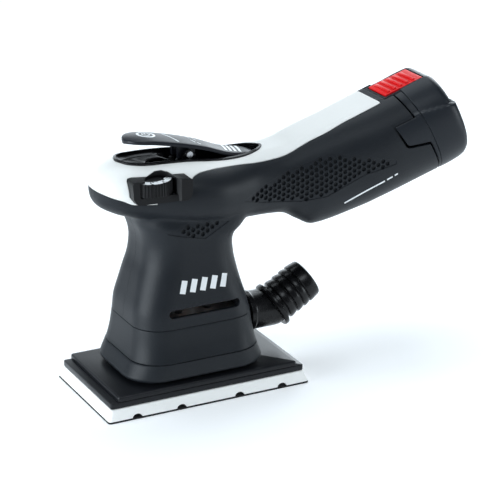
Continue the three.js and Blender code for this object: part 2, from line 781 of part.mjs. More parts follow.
function wallBody() {
  const outer = outerBody();
  let body = outer.subtract(innerBody());
  body = body.add(motorRib(statorBottom + 3)).add(motorRib(statorTop - 6));
  const partition = sloped(block(partitionAlong, partitionAlong + 2.4, -40, 40, 50, 125));
  body = body.add(partition.intersect(handleLoft(-wall / 2)));
  shellScrews.forEach(([x, z]) => {
    body = body.add(crosswise(bossRadius, -40, 40, x, z).intersect(outer));
  });
  const { along, low, high } = batteryNotch;
  const sideNotch = sloped(block(along, 220, -40, 40, low, high));
  const middle = sloped(block(along - 1, 221, -26.5, 26.5, low - 1, high + 1));
  body = body.subtract(sideNotch.subtract(middle));
  const upperNotch = block(topNotch.along, 220, -topNotch.halfWidth, topNotch.halfWidth, 105, 125);
  body = body.subtract(sloped(upperNotch));
  body = body.subtract(neckSlotCut(-1)).subtract(neckSlotCut(1));
  return body;
}

function dialRoom() {
  return upright(dialRadius + seatGap, dialBottom - 0.4, dialBottom + dialHeight + 1, dialX, dialY, 32);
}

function trimmedShells(body) {
  return body.subtract(coverRoom(seatGap)).subtract(bezelRoom(seatGap, -13.5)).subtract(dialRoom());
}

function makeShell(shells, side) {
  const [y0, y1] = side < 0 ? [-60, -seatGap / 2] : [seatGap / 2, 60];
  let shell = shells.intersect(block(-90, 230, y0, y1, 0, 200));
  shellScrews.forEach(([x, z]) => {
    const bore = crosswise(screwShank + seatGap, -16, 60, x, z, 16);
    shell = shell.subtract(bore);
    if (side > 0) shell = shell.subtract(crosswise(screwHead + seatGap, screwSeat, 60, x, z, 16));
  });
  return largestPiece(shell);
}

function largestPiece(solid) {
  return solid.decompose().reduce((best, piece) => (piece.volume() > best.volume() ? piece : best));
}

function makeShellScrew([x, z]) {
  const seat = screwSeat + seatGap;
  const shank = crosswise(screwShank, -14, seat + 1, x, z, 12);
  const head = crosswise(screwHead, seat, seat + 2.2, x, z, 16);
  const socket = crosswise(1.4, seat + 0.9, seat + 4, x, z, 6);
  return shank.add(head).subtract(socket);
}

function makeTopCover(body) {
  const hole = uprightPrism(trayOutline(-seatGap), 120, 180);
  const cover = body.intersect(coverRoom(0)).subtract(hole).subtract(bezelRoom(seatGap, -13.5));
  return largestPiece(cover.subtract(dialRoom()));
}

const trayFloor = { front: 142.6, deep: 134.4, thickness: 2.1, wellFront: -9 };
const leverEar = { inner: 6.2, outer: 9 };
const leverTravel = 9; // degrees, nose down
const plungerPlace = { x: -4, y: 4.4, radius: 1.5 };

// A solid turned about the lever's pin, as when its front is pressed
function pressed(solid, degrees) {
  const atPin = solid.translate([-leverPivotX, 0, -leverPivotZ]).rotate([0, -degrees, 0]);
  return atPin.translate([leverPivotX, 0, leverPivotZ]);
}

function makeLeverTray() {
  const { front, deep, thickness, wellFront } = trayFloor;
  const rim = 1.6;
  const leaf = (inset, low) => uprightPrism(trayOutline(inset), low, 165);
  const behind = (x) => block(x, 80, -40, 40, 100, 170);
  let tray = leaf(0, front).add(leaf(0, deep).intersect(behind(wellFront)));
  tray = tray.intersect(handleLoft(0.6));
  tray = tray.subtract(leaf(rim, front + thickness));
  tray = tray.subtract(leaf(rim, deep + thickness).intersect(behind(wellFront + thickness)));
  for (let turn = 0; turn <= leverTravel; turn += 1.5) {
    tray = tray.subtract(pressed(leverPlate(0.6, 20, 0.6), turn).intersect(behind(8)));
  }
  const { inner, outer } = leverEar;
  [[-outer, -inner], [inner, outer]].forEach(([y0, y1]) => {
    const post = block(leverPivotX - 4, leverPivotX + 4, y0, y1, deep + 1, leverPivotZ);
    const cheek = post.add(crosswise(leverPinRadius + 0.9, y0, y1, leverPivotX, leverPivotZ, 16));
    const bore = crosswise(leverPinRadius + seatGap, y0 - 1, y1 + 1, leverPivotX, leverPivotZ, 16);
    tray = tray.add(cheek.subtract(bore).subtract(leverPlate(seatGap, 20, seatGap)));
  });
  const { x, y, radius } = plungerPlace;
  return tray.subtract(upright(radius + 0.4, 120, deep + thickness + 1, x, y, 12));
}

function makeLever() {
  const plate = leverPlate();
  const under = block(leverPivotX - 5.5, leverPivotX + 5.5, -5.5, 5.5, 144.6, 152.5);
  const springSlot = block(leverPivotX - 9, leverPivotX + 9, -2.9, 2.9, 140, 150.9);
  const bore = crosswise(leverPinRadius + turnGap, -12, 12, leverPivotX, leverPivotZ, 24);
  return plate.add(under.subtract(springSlot).subtract(bore));
}

function makeLeverPin() {
  return crosswise(leverPinRadius, -10, 10, leverPivotX, leverPivotZ, 24);
}

// A torsion spring: a leg on the tray's floor, turns round the pin, a leg under the lever
function makeLeverSpring() {
  const [radius, turns, reach] = [3, 2.5, 1.9];
  const footZ = trayFloor.deep + trayFloor.thickness + 0.9;
  const points = [new THREE.Vector3(leverPivotX - 7, -reach, footZ)];
  for (let k = 0; k <= 12 * turns; k++) {
    const angle = Math.PI + (2 * Math.PI * k) / 12;
    const y = -reach + (2 * reach * k) / (12 * turns);
    const [dx, dz] = [radius * Math.cos(angle), radius * Math.sin(angle)];
    points.push(new THREE.Vector3(leverPivotX + dx, y, leverPivotZ + dz));
  }
  points.push(new THREE.Vector3(leverPivotX + 5, reach, leverPivotZ + 2.2));
  const section = new THREE.Shape();
  section.absarc(0, 0, 0.4, 0, 2 * Math.PI);
  const path = new THREE.CatmullRomCurve3(points, false, "centripetal");
  const options = { steps: 44, bevelEnabled: false, extrudePath: path, curveSegments: 3 };
  const solid = toSolid(new THREE.ExtrudeGeometry(section, options));
  return solid.volume() > 0 ? solid : solid.scale([1, -1, 1]);
}

function makeMicroSwitch() {
  const top = trayFloor.deep - seatGap;
  const { x, y, radius } = plungerPlace;
  const body = block(-13, 6, y - 3.2, y + 3.2, top - 10, top);
  const plunger = upright(radius, top - 1, 143.2, x, y, 12);
  const tab = (at) => block(at, at + 1.2, y - 1.6, y + 1.6, top - 14, top - 9);
  return body.add(plunger).add(tab(-11)).add(tab(3));
}

const dialShelf = { low: 131.2, high: 133.2, radius: 2.5 };

function makeDialBezel() {
  const frame = handleLoft(0.3).subtract(handleLoft(-wall)).add(bezelFace());
  let bezel = frame.intersect(bezelRoom(0, -13.8));
  const shelf = block(dialX - 8, dialX + 8, -28, -13.8, dialShelf.low, dialShelf.high);
  bezel = bezel.add(shelf);
  bezel = bezel.subtract(upright(dialRadius + 0.7, dialBottom - 0.4, 160, dialX, dialY, 32));
  bezel = bezel.subtract(upright(dialShelf.radius + 0.4, 120, 140, dialX, dialY, 16));
  return largestPiece(bezel);
}

function makeSpeedDial() {
  const teeth = 24;
  const outline = [];
  for (let k = 0; k < teeth * 4; k++) {
    const radius = dialRadius - (k % 4 < 2 ? 0 : 0.6);
    const angle = (2 * Math.PI * k) / (teeth * 4);
    outline.push(new THREE.Vector2(radius * Math.cos(angle), radius * Math.sin(angle)));
  }
  const top = dialBottom + dialHeight;
  const rim = uprightPrism(new THREE.Shape(outline), dialBottom, top).translate([dialX, dialY, 0]);
  const face = upright(dialRadius - 1.6, top - 0.1, top + 0.8, dialX, dialY, 32, dialRadius - 2.2);
  const bore = upright(dialShelf.radius + turnGap, dialBottom - 1, top - 1.5, dialX, dialY, 24);
  return rim.add(face).subtract(bore);
}

function makeDialPot() {
  const top = dialShelf.low - seatGap;
  const body = block(dialX - 4, dialX + 5, dialY - 2.2, dialY + 6.5, top - 7, top);
  const shaft = upright(dialShelf.radius, top - 1, dialBottom + dialHeight - 2, dialX, dialY, 24);
  return body.add(shaft);
}

// Battery, drawn level and then sloped

const stem = { along: 141, frontWall: 4, halfWidth: 20.3, low: 67.6, high: 108.8, chamfer: 4 };
const batteryFaceGap = 0.6;
const caseSeam = 187;
const cellAlong = stem.along + stem.frontWall + seatGap;
const cellAcross = (stem.low + stem.high) / 2;
const latchPocket = { start: 176.6, end: 205.4, halfWidth: 10.7, floor: 111.2 };
const latchTravel = 2.2;
const latchThickness = 4.6;

// One section of the battery's case: its place along the top edge and its size
function batteryRing(along, grow, lean = rimTilt) {
  const ring = handleRing([along, handleTop + grow], [along, handleBottom - grow], 30 + grow, 0.943);
  ring.forEach((p) => (p.x += lean * (handleTop - p.z)));
  return ring;
}

const batteryEnd = [
  [caseSeam + seatGap, 0, rimTilt],
  [200, 0.4, rimTilt],
  [206.5, -0.4, 0.13],
  [209.6, -2.6, 0.11],
  [211.2, -6.5, 0.09],
];

// The stem's eight-sided bar, between two places along the handle
function stemBar(x0, x1, grow) {
  const { halfWidth, low, high, chamfer } = stem;
  const bar = block(x0, x1, -halfWidth - grow, halfWidth + grow, low - grow, high + grow);
  const reach = (halfWidth + (high - low) / 2 - chamfer) / Math.SQRT2 + grow;
  const turned = block(x0 - 1, x1 + 1, -reach, reach, -reach, reach).rotate([45, 0, 0]);
  return bar.intersect(turned.translate([0, 0, cellAcross]));
}

function batteryHollow() {
  return stemBar(stem.along + stem.frontWall, cellAlong + cellLength + 0.6, -1.5);
}

function latchRoom() {
  const { start, end, halfWidth, floor } = latchPocket;
  return block(start, end, -halfWidth, halfWidth, floor, 130);
}

function latchCup() {
  const { start, end, halfWidth, floor } = latchPocket;
  return block(start - 1.4, end + 1.6, -halfWidth - 1.6, halfWidth + 1.6, floor - 1.6, handleTop - 0.5);
}

function makeBatteryFront() {
  const body = loft([batteryRing(rimAlong + batteryFaceGap, 0), batteryRing(caseSeam, 0)]);
  const plug = stemBar(stem.along, rimAlong + 8, 0);
  const { along, low, high } = batteryNotch;
  const lugZone = block(along + 0.5, rimAlong + 8, -40, 40, low + 0.5, high - 0.5);
  const lugWall = loft([batteryRing(160, -0.1), batteryRing(rimAlong + 9, -0.1)]);
  const lugs = lugZone.intersect(lugWall).subtract(block(100, 200, -27, 27, 60, 120));
  const cup = latchCup().intersect(block(100, caseSeam, -30, 30, 0, 200));
  const cupEnd = cup.subtract(block(100, topNotch.along + 0.6, -40, 40, 0, 200));
  const solid = body.add(plug).add(lugs).add(cupEnd);
  const seam = loft([batteryRing(caseSeam, 20), batteryRing(caseSeam + 60, 20)]);
  const slots = [-10, 10].map((y) => block(stem.along - 1, stem.along + 3.2, y - 1.6, y + 1.6, 83, 93));
  const cut = slots.reduce((rest, slot) => rest.subtract(slot), solid.subtract(batteryHollow()));
  return largestPiece(cut.subtract(latchRoom()).subtract(seam));
}

function makeBatteryRear() {
  const body = loft(batteryEnd.map(([along, grow, lean]) => batteryRing(along, grow, lean)));
  const solid = body.subtract(batteryHollow()).subtract(latchRoom());
  return largestPiece(solid);
}

function makeCell(sideY, sideZ) {
  const spread = cellRadius + 0.25;
  const body = new THREE.CylinderGeometry(cellRadius, cellRadius, cellLength - 1, 24).rotateZ(Math.PI / 2);
  const cap = new THREE.CylinderGeometry(3, 3, 2, 16).rotateZ(Math.PI / 2);
  const can = toSolid(body).translate([cellAlong + 1 + (cellLength - 1) / 2, 0, 0]);
  const button = toSolid(cap).translate([cellAlong + 1, 0, 0]);
  return can.add(button).translate([0, sideY * spread, cellAcross + sideZ * spread]);
}

function makeLatchButton() {
  const [start, end] = [latchPocket.start + 0.6, latchPocket.end - 0.6];
  const halfWidth = latchPocket.halfWidth - 0.6;
  const top = handleTop + 0.4;
  let button = block(start, end, -halfWidth, halfWidth, top - latchThickness + 0.8, top);
  const ribs = 5;
  const ribHalfLength = halfWidth - 1.5;
  const pitch = (end - start - 6) / ribs;
  for (let k = 0; k < ribs; k++) {
    const at = start + 3 + k * pitch;
    const rib = block(at, at + pitch * 0.55, -ribHalfLength, ribHalfLength, top - 0.5, top + 0.8);
    button = button.add(rib);
  }
  return button;
}

function makeLatchSpring() {
  const low = latchPocket.floor + seatGap;
  const high = handleTop + 0.4 - latchThickness + 0.8 - seatGap;
  const height = high - low - 0.8;
  const points = [];
  for (let k = 0; k <= 24; k++) {
    const angle = (2 * Math.PI * k) / 12;
    points.push(new THREE.Vector3(4 * Math.cos(angle), 4 * Math.sin(angle), low + 0.4 + (height * k) / 24));
  }
  const section = new THREE.Shape();
  section.absarc(0, 0, 0.35, 0, 2 * Math.PI);
  const path = new THREE.CatmullRomCurve3(points, false, "centripetal");
  const options = { steps: 28, bevelEnabled: false, extrudePath: path, curveSegments: 3 };
  const solid = toSolid(new THREE.ExtrudeGeometry(section, options));
  const right = solid.volume() > 0 ? solid : solid.scale([1, -1, 1]);
  return right.translate([(latchPocket.start + latchPocket.end) / 2, 0, 0]);
}

function makeTerminalBlock() {
  const start = partitionAlong + 2.4 + seatGap;
  const end = stem.along - 0.6;
  const body = block(start, end, -17, 17, 78, 98);
  const blade = (y) => block(end - 1, end + 3.2, y - 1, y + 1, 84, 92);
  return body.add(blade(-10)).add(blade(10));
}

// Assembly

const sander = new THREE.Group();
const pad = new THREE.Group();
const drive = new THREE.Group();
const housing = new THREE.Group();
const handleFrame = new THREE.Group();
handleFrame.rotation.y = THREE.MathUtils.degToRad(-handleSlope);
sander.add(pad, drive, housing, handleFrame);

addNode(pad, "hook_layer", makeHookLayer(), "hook");
addNode(pad, "pad_foam", makePadFoam(), "foam");
addNode(pad, "lower_plate", makeLowerPlate(), "platePlastic");
addNode(pad, "upper_plate", makeUpperPlate(), "platePlastic");
addNode(pad, "pad_hub", makePadHub(), "aluminium");
addNode(pad, "pad_bearing", makePadBearing(), "steel");
padScrewAngles.forEach((angle, k) => {
  addNode(pad, `pad_screw_${k + 1}`, makePadScrew(angle), "darkSteel");
});

addNode(drive, "eccentric", makeEccentric(), "darkSteel");
addNode(drive, "fan", makeFan(), "blackPlastic");
addNode(drive, "rotor", makeRotor(), "steel");

addNode(housing, "skirt", makeSkirt(), "shellPlastic");
addNode(housing, "housing_ring", makeHousingRing(), "shellPlastic");
postSockets.forEach(([x, y], k) => {
  addNode(housing, `elastic_post_${k + 1}`, makePost(x, y), "rubber");
});
addNode(housing, "motor_plate", makeMotorPlate(), "aluminium");
addNode(housing, "lower_bearing", makeMotorBearing(lowerBearingBottom), "steel");
addNode(housing, "stator", makeStator(), "copper");
addNode(housing, "end_bell", makeEndBell(), "aluminium");
addNode(housing, "upper_bearing", makeMotorBearing(upperBearingBottom), "steel");
addNode(housing, "control_board", makeControlBoard(), "board");
addNode(housing, "dust_nozzle", makeNozzle(), "glossPlastic");
addNode(housing, "nozzle_seal", makeNozzleSeal(), "rubber");

const body = wallBody();
const shells = trimmedShells(body);
addNode(housing, "shell_left", makeShell(shells, -1), "shellPlastic");
addNode(housing, "shell_right", makeShell(shells, 1), "shellPlastic");
shellScrews.forEach((place, k) => {
  addNode(housing, `shell_screw_${k + 1}`, makeShellScrew(place), "darkSteel");
});
addNode(housing, "top_cover", makeTopCover(body), "coverPlastic");
addNode(housing, "lever_tray", makeLeverTray(), "glossPlastic");
addNode(housing, "lever", makeLever(), "blackPlastic");
addNode(housing, "lever_pin", makeLeverPin(), "steel");
addNode(housing, "lever_spring", makeLeverSpring(), "steel");
addNode(housing, "micro_switch", makeMicroSwitch(), "blackPlastic");
addNode(housing, "dial_bezel", makeDialBezel(), "blackPlastic");
addNode(housing, "speed_dial", makeSpeedDial(), "blackPlastic");
addNode(housing, "dial_pot", makeDialPot(), "darkSteel");

addNode(handleFrame, "terminal_block", makeTerminalBlock(), "blackPlastic");
addNode(handleFrame, "battery_front", makeBatteryFront(), "blackPlastic");
addNode(handleFrame, "battery_rear", makeBatteryRear(), "blackPlastic");
[[-1, -1], [-1, 1], [1, -1], [1, 1]].forEach(([y, z], k) => {
  addNode(handleFrame, `battery_cell_${k + 1}`, makeCell(y, z), "cellWrap");
});
addNode(handleFrame, "latch_button", makeLatchButton(), "redPlastic");
addNode(handleFrame, "latch_spring", makeLatchSpring(), "steel");

export default sander;
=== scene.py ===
import math

import bmesh
import bpy
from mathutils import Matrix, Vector, kdtree


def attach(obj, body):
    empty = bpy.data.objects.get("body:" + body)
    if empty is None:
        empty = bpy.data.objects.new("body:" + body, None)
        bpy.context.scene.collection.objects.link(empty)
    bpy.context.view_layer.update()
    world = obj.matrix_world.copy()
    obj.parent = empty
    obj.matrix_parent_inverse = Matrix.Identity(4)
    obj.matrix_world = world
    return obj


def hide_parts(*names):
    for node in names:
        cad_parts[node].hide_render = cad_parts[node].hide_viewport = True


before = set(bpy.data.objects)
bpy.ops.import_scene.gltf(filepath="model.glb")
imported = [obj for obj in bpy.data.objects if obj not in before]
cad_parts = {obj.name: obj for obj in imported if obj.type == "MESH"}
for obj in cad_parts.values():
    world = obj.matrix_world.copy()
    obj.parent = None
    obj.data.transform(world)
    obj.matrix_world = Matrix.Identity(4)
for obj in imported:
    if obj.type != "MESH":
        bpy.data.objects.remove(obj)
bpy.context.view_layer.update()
print("frame loaded with", len(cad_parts), "nodes")

mm = 0.001

# camera and lights

cameraPlace = {
    "position": (-0.49475, -1.0548, 0.5233),
    "lookAt": (0, -0.089925, 0.115005),
    "lens": 149.33,
}


def aimAt(thing, target):
    away = Vector(target) - thing.location
    thing.rotation_euler = away.to_track_quat("-Z", "Y").to_euler()


cameraData = bpy.data.cameras.new("camera")
cameraData.lens = cameraPlace["lens"]
camera = bpy.data.objects.new("camera", cameraData)
bpy.context.scene.collection.objects.link(camera)
camera.location = cameraPlace["position"]
aimAt(camera, cameraPlace["lookAt"])
bpy.context.scene.camera = camera

lights = {  # place, target, size in metres and power in watts
    "leftBox": [(-0.85, -0.06, 0.19), (0, 0, 0.06), (0.6, 0.4), 8],
    "rearRight": [(0.75, 0.60, 0.50), (0, 0, 0.1), (0.5, 0.9), 4.5],
    "rightBox": [(0.95, -0.55, 0.22), (0, 0, 0.1), (0.35, 0.4), 3.2],
    "overhead": [(0.05, 0.25, 1.25), (0.02, 0.05, 0.1), (1.1, 0.9), 11],
    "frontTop": [(0.10, -1.00, 1.10), (0.02, 0, 0.1), (0.6, 0.4), 4.5],
    "backdrop": [(0.60, 1.60, 0.45), (0, 0, 0.2), (2.4, 0.9), 14],
}
studio = {"air": (0.85, 0.94, 1, 1), "strength": 0.1, "glow": 0.2, "lamps": (0.86, 0.94, 1)}

for name, (place, target, size, power) in lights.items():
    lamp = bpy.data.lights.new(name, "AREA")
    lamp.shape = "RECTANGLE"
    lamp.size, lamp.size_y = size
    lamp.energy = power
    lamp.color = studio["lamps"]
    holder = bpy.data.objects.new(name, lamp)
    bpy.context.scene.collection.objects.link(holder)
    holder.location = place
    aimAt(holder, target)

world = bpy.data.worlds.new("studio")
bpy.context.scene.world = world
world.use_nodes = True
world.node_tree.nodes["Background"].inputs[0].default_value = studio["air"]
world.node_tree.nodes["Background"].inputs[1].default_value = studio["strength"]
bpy.context.scene.view_settings.view_transform = "Standard"
print("camera and", len(lights), "lights placed")


# materials

class Wire:  # a shader socket that takes part in arithmetic
    def __init__(self, look, socket):
        self.look = look
        self.socket = socket

    def sum(self, operation, first, second):
        return self.look.node("ShaderNodeMath", {"operation": operation}, {0: first, 1: second})

    def __add__(self, other):
        return self.sum("ADD", self, other)

    def __mul__(self, other):
        return self.sum("MULTIPLY", self, other)

    __radd__ = __add__
    __rmul__ = __mul__


class Look:  # one material with its shader
    def __init__(self, name, constants=None):
        self.material = bpy.data.materials.new(name)
        self.material.use_nodes = True
        self.tree = self.material.node_tree
        self.shader = self.tree.nodes["Principled BSDF"]
        for socket, value in (constants or {}).items():
            self.shader.inputs[socket].default_value = value

    def node(self, kind, settings=None, inputs=None, output=0):
        made = self.tree.nodes.new(kind)
        for name, value in (settings or {}).items():
            setattr(made, name, value)
        for key, value in (inputs or {}).items():
            if isinstance(value, Wire):
                self.tree.links.new(value.socket, made.inputs[key])
            else:
                made.inputs[key].default_value = value
        return Wire(self, made.outputs[output])

    def feed(self, socket, wire):
        self.tree.links.new(wire.socket, self.shader.inputs[socket])

    def place(self):
        return self.node("ShaderNodeTexCoord", output="Object")

    def noise(self, scale, detail=2, roughness=0.5, place=None):
        inputs = {"Vector": place or self.place(), "Scale": scale}
        inputs.update({"Detail": detail, "Roughness": roughness})
        return self.node("ShaderNodeTexNoise", None, inputs, "Fac")

    def cells(self, feature, scale):
        inputs = {"Vector": self.place(), "Scale": scale}
        return self.node("ShaderNodeTexVoronoi", {"feature": feature}, inputs, "Distance")

    def mixed(self, mask, first, second):
        inputs = {"Factor": mask, 6: first, 7: second}
        return self.node("ShaderNodeMix", {"data_type": "RGBA"}, inputs, 2)

    def bumped(self, height, depth, edge=0):
        inputs = {"Height": height, "Strength": 1, "Distance": depth}
        if edge:
            soft = {"Radius": edge}
            inputs["Normal"] = self.node("ShaderNodeBevel", {"samples": 6}, soft, "Normal")
        self.feed("Normal", self.node("ShaderNodeBump", None, inputs, "Normal"))


def tint(red, green, blue):
    return (red, green, blue, 1)


plastics = {  # base and second colour, roughness, grain per metre, grain depth, softened edge
    "shellPlastic": [(0.0055, 0.0072, 0.0100), (0.011, 0.0138, 0.018), 0.44, 1250, 0.00009, 0.0004],
    "ringPlastic": [(0.006, 0.0078, 0.0105), (0.012, 0.015, 0.019), 0.46, 1250, 0.00009, 0.0004],
    "coverPlastic": [(0.72, 0.72, 0.7), (0.77, 0.77, 0.75), 0.36, 420, 0.000012, 0.0004],
    "bezelPlastic": [(0.0025, 0.0025, 0.003), (0.005, 0.005, 0.006), 0.36, 1500, 0.00003, 0.0003],
    "leverPlastic": [(0.006, 0.007, 0.0105), (0.011, 0.0125, 0.018), 0.36, 1400, 0.00003, 0.0003],
    "trayGloss": [(0.002, 0.002, 0.0025), (0.004, 0.004, 0.005), 0.2, 300, 0.00001, 0.0003],
    "batteryPlastic": [(0.0075, 0.0095, 0.0135), (0.013, 0.0165, 0.022), 0.4, 1500, 0.00006, 0.0005],
    "buttonRed": [(0.66, 0.008, 0.01), (0.74, 0.014, 0.015), 0.32, 700, 0.00001, 0.0003],
    "platePlastic": [(0.006, 0.0065, 0.008), (0.011, 0.012, 0.015), 0.3, 900, 0.00003, 0.0004],
    "nozzlePlastic": [(0.003, 0.003, 0.0035), (0.007, 0.007, 0.008), 0.27, 700, 0.00004, 0.0003],
    "innerPlastic": [(0.01, 0.01, 0.011), (0.017, 0.017, 0.018), 0.45, 800, 0.00003, 0.0002],
}


def makePlastic(name):
    first, second, roughness, grain, depth, edge = plastics[name]
    look = Look(name, {"Specular IOR Level": 0.23})
    fine = look.noise(grain, 3, 0.6)
    broad = look.noise(38, 2)
    look.feed("Base Color", look.mixed(fine * 0.55 + broad * 0.45, tint(*first), tint(*second)))
    look.feed("Roughness", broad * 0.06 + fine * 0.08 + (roughness - 0.07))
    look.bumped(fine, depth, edge)
    return look.material


metals = {  # base and second colour, roughness, rings per metre
    "steel": [(0.42, 0.43, 0.45), (0.6, 0.61, 0.63), 0.3, 900],
    "darkSteel": [(0.08, 0.08, 0.085), (0.17, 0.17, 0.18), 0.4, 700],
    "castAluminium": [(0.5, 0.51, 0.52), (0.66, 0.67, 0.68), 0.42, 260],
}


def makeMetal(name, first, second, roughness, ringScale):
    look = Look(name, {"Metallic": 1})
    stretch = {"Vector": look.place(), "Scale": (1, 1, 14)}
    lines = look.noise(ringScale, 3, 0.55, look.node("ShaderNodeMapping", None, stretch, "Vector"))
    stains = look.noise(90, 2)
    look.feed("Base Color", look.mixed(lines * 0.5 + stains * 0.5, tint(*first), tint(*second)))
    look.feed("Roughness", lines * 0.18 + stains * 0.1 + (roughness - 0.1))
    look.bumped(lines, 0.00002)
    return look.material


def makeFoam():
    look = Look("padFoam", {"Roughness": 0.85, "Specular IOR Level": 0.25})
    cells = look.cells("SMOOTH_F1", 1500)
    dust = look.noise(60, 3)
    look.feed("Base Color", look.mixed(dust, tint(0.92, 0.92, 0.9), tint(0.97, 0.97, 0.95)))
    look.bumped(cells + dust * 0.5, 0.00012)
    return look.material


def makeHook():
    look = Look("hookFibre", {"Specular IOR Level": 0.2})
    fibres = look.cells("F1", 1900)
    look.feed("Base Color", look.mixed(fibres, tint(0.035, 0.035, 0.037), tint(0.01, 0.01, 0.011)))
    look.feed("Roughness", fibres * 0.2 + 0.75)
    look.bumped(fibres, 0.0002)
    return look.material


prints = {
    "paleInk": (0.72, 0.75, 0.76),
    "brightInk": (0.85, 0.87, 0.88),
    "cellWrap": (0.05, 0.22, 0.5),
    "rubber": (0.02, 0.02, 0.02),
}


def makePrint(name, colour):
    look = Look(name, {"Specular IOR Level": 0.35})
    wear = look.noise(900, 3, 0.65)
    look.feed("Base Color", look.mixed(wear, tint(*[c * 0.9 for c in colour]), tint(*colour)))
    look.feed("Roughness", wear * 0.15 + 0.4)
    look.bumped(wear, 0.00001)
    return look.material


def makeBoard():
    look = Look("boardGreen", {"Specular IOR Level": 0.5})
    tracks = look.node("ShaderNodeTexBrick", None, {"Vector": look.place(), "Scale": 120}, "Fac")
    grain = look.noise(600, 2)
    look.feed("Base Color", look.mixed(tracks, tint(0.01, 0.09, 0.035), tint(0.02, 0.14, 0.05)))
    look.feed("Roughness", grain * 0.15 + 0.35)
    look.bumped(tracks, 0.00005)
    return look.material


def makeWindings():
    look = Look("windings", {"Metallic": 0.9})
    inputs = {"Vector": look.place(), "Scale": 320, "Distortion": 0.4}
    turns = look.node("ShaderNodeTexWave", {"bands_direction": "Z"}, inputs, "Fac")
    look.feed("Base Color", look.mixed(turns, tint(0.32, 0.12, 0.05), tint(0.6, 0.28, 0.13)))
    look.feed("Roughness", turns * 0.15 + 0.3)
    look.bumped(turns, 0.0002)
    return look.material


def makeFloor():
    look = Look("paleFloor", {"Specular IOR Level": 0.1, "Emission Strength": studio["glow"]})
    cloud = look.noise(3, 2)
    paper = look.mixed(cloud, tint(0.90, 0.915, 0.925), tint(0.92, 0.93, 0.94))
    look.feed("Base Color", paper)
    look.feed("Emission Color", paper)
    look.feed("Roughness", cloud * 0.1 + 0.7)
    return look.material


finish = {name: makePlastic(name) for name in plastics}
for name, row in metals.items():
    finish[name] = makeMetal(name, *row)
for name, colour in prints.items():
    finish[name] = makePrint(name, colour)
finish["padFoam"] = makeFoam()
finish["hookFibre"] = makeHook()
finish["board"] = makeBoard()
finish["windings"] = makeWindings()
print("materials made:", len(finish))


# working on meshes

def selectOnly(*pieces):
    bpy.ops.object.select_all(action="DESELECT")
    for piece in pieces:
        piece.select_set(True)
    bpy.context.view_layer.objects.active = pieces[0]


def settle(piece):
    selectOnly(piece)
    bpy.ops.object.transform_apply(location=True, rotation=True, scale=True)
    return piece


def modify(piece, kind, **settings):
    selectOnly(piece)
    modifier = piece.modifiers.new(kind.title(), kind)
    for name, value in settings.items():
        setattr(modifier, name, value)
    bpy.ops.object.modifier_apply(modifier=modifier.name)
    return piece


def combine(piece, operation, *tools):
    for tool in tools:
        modify(piece, "BOOLEAN", object=tool, operation=operation, solver="MANIFOLD")
    return piece


def remove(*pieces):
    for piece in pieces:
        bpy.data.objects.remove(piece)


def cut(piece, *tools):
    combine(piece, "DIFFERENCE", *tools)
    remove(*tools)
    return piece


def join(piece, *tools):
    combine(piece, "UNION", *tools)
    remove(*tools)
    return piece


def keepWithin(piece, tool):
    combine(piece, "INTERSECT", tool)
    remove(tool)
    return piece


def duplicate(piece, name):
    made = piece.copy()
    made.data = piece.data.copy()
    made.name = name
    bpy.context.scene.collection.objects.link(made)
    return made


def meshPiece(name, points, faces):
    mesh = bpy.data.meshes.new(name)
    mesh.from_pydata([Vector(p) * mm for p in points], [], faces)
    piece = bpy.data.objects.new(name, mesh)
    bpy.context.scene.collection.objects.link(piece)
    return piece


def outwards(piece):  # merges doubles and turns every face outwards
    selectOnly(piece)
    bpy.ops.object.mode_set(mode="EDIT")
    bpy.ops.mesh.select_all(action="SELECT")
    bpy.ops.mesh.remove_doubles(threshold=1e-6)
    bpy.ops.mesh.normals_make_consistent(inside=False)
    bpy.ops.object.mode_set(mode="OBJECT")
    return piece


def loftPiece(name, rings):  # a closed skin through rings of equal counts
    count = len(rings[0])
    points = [p for ring in rings for p in ring]
    faces = []
    for r in range(len(rings) - 1):
        for k in range(count):
            step = (k + 1) % count
            a, b = r * count + k, r * count + step
            faces.append((a, b, b + count, a + count))
    for r in (0, len(rings) - 1):
        middle = sum((Vector(p) for p in rings[r]), Vector()) / count
        points.append(middle)
        for k in range(count):
            faces.append((r * count + k, r * count + (k + 1) % count, len(points) - 1))
    return outwards(meshPiece(name, points, faces))


def prismAlongY(name, outline, y0, y1):
    rings = [[(x, y, z) for x, z in outline] for y in (y0, y1)]
    return loftPiece(name, rings)


def box(name, x0, x1, y0, y1, z0, z1):
    bpy.ops.object.select_all(action="DESELECT")
    middle = [(x0 + x1) / 2 * mm, (y0 + y1) / 2 * mm, (z0 + z1) / 2 * mm]
    bpy.ops.mesh.primitive_cube_add(size=1, location=middle)
    piece = bpy.context.object
    piece.name = name
    piece.scale = [(x1 - x0) * mm, (y1 - y0) * mm, (z1 - z0) * mm]
    return settle(piece)


def rod(name, radius, start, end, sides=48):
    bpy.ops.object.select_all(action="DESELECT")
    along = Vector(end) - Vector(start)
    middle = (Vector(start) + Vector(end)) / 2 * mm
    bpy.ops.mesh.primitive_cylinder_add(
        vertices=sides, radius=radius * mm, depth=along.length * mm, location=middle
    )
    piece = bpy.context.object
    piece.name = name
    piece.rotation_euler = along.to_track_quat("Z", "Y").to_euler()
    return settle(piece)


def ramp(value, start, span):  # 0 up to the start, 1 past the span
    return min(1, max(0, (value - start) / span))


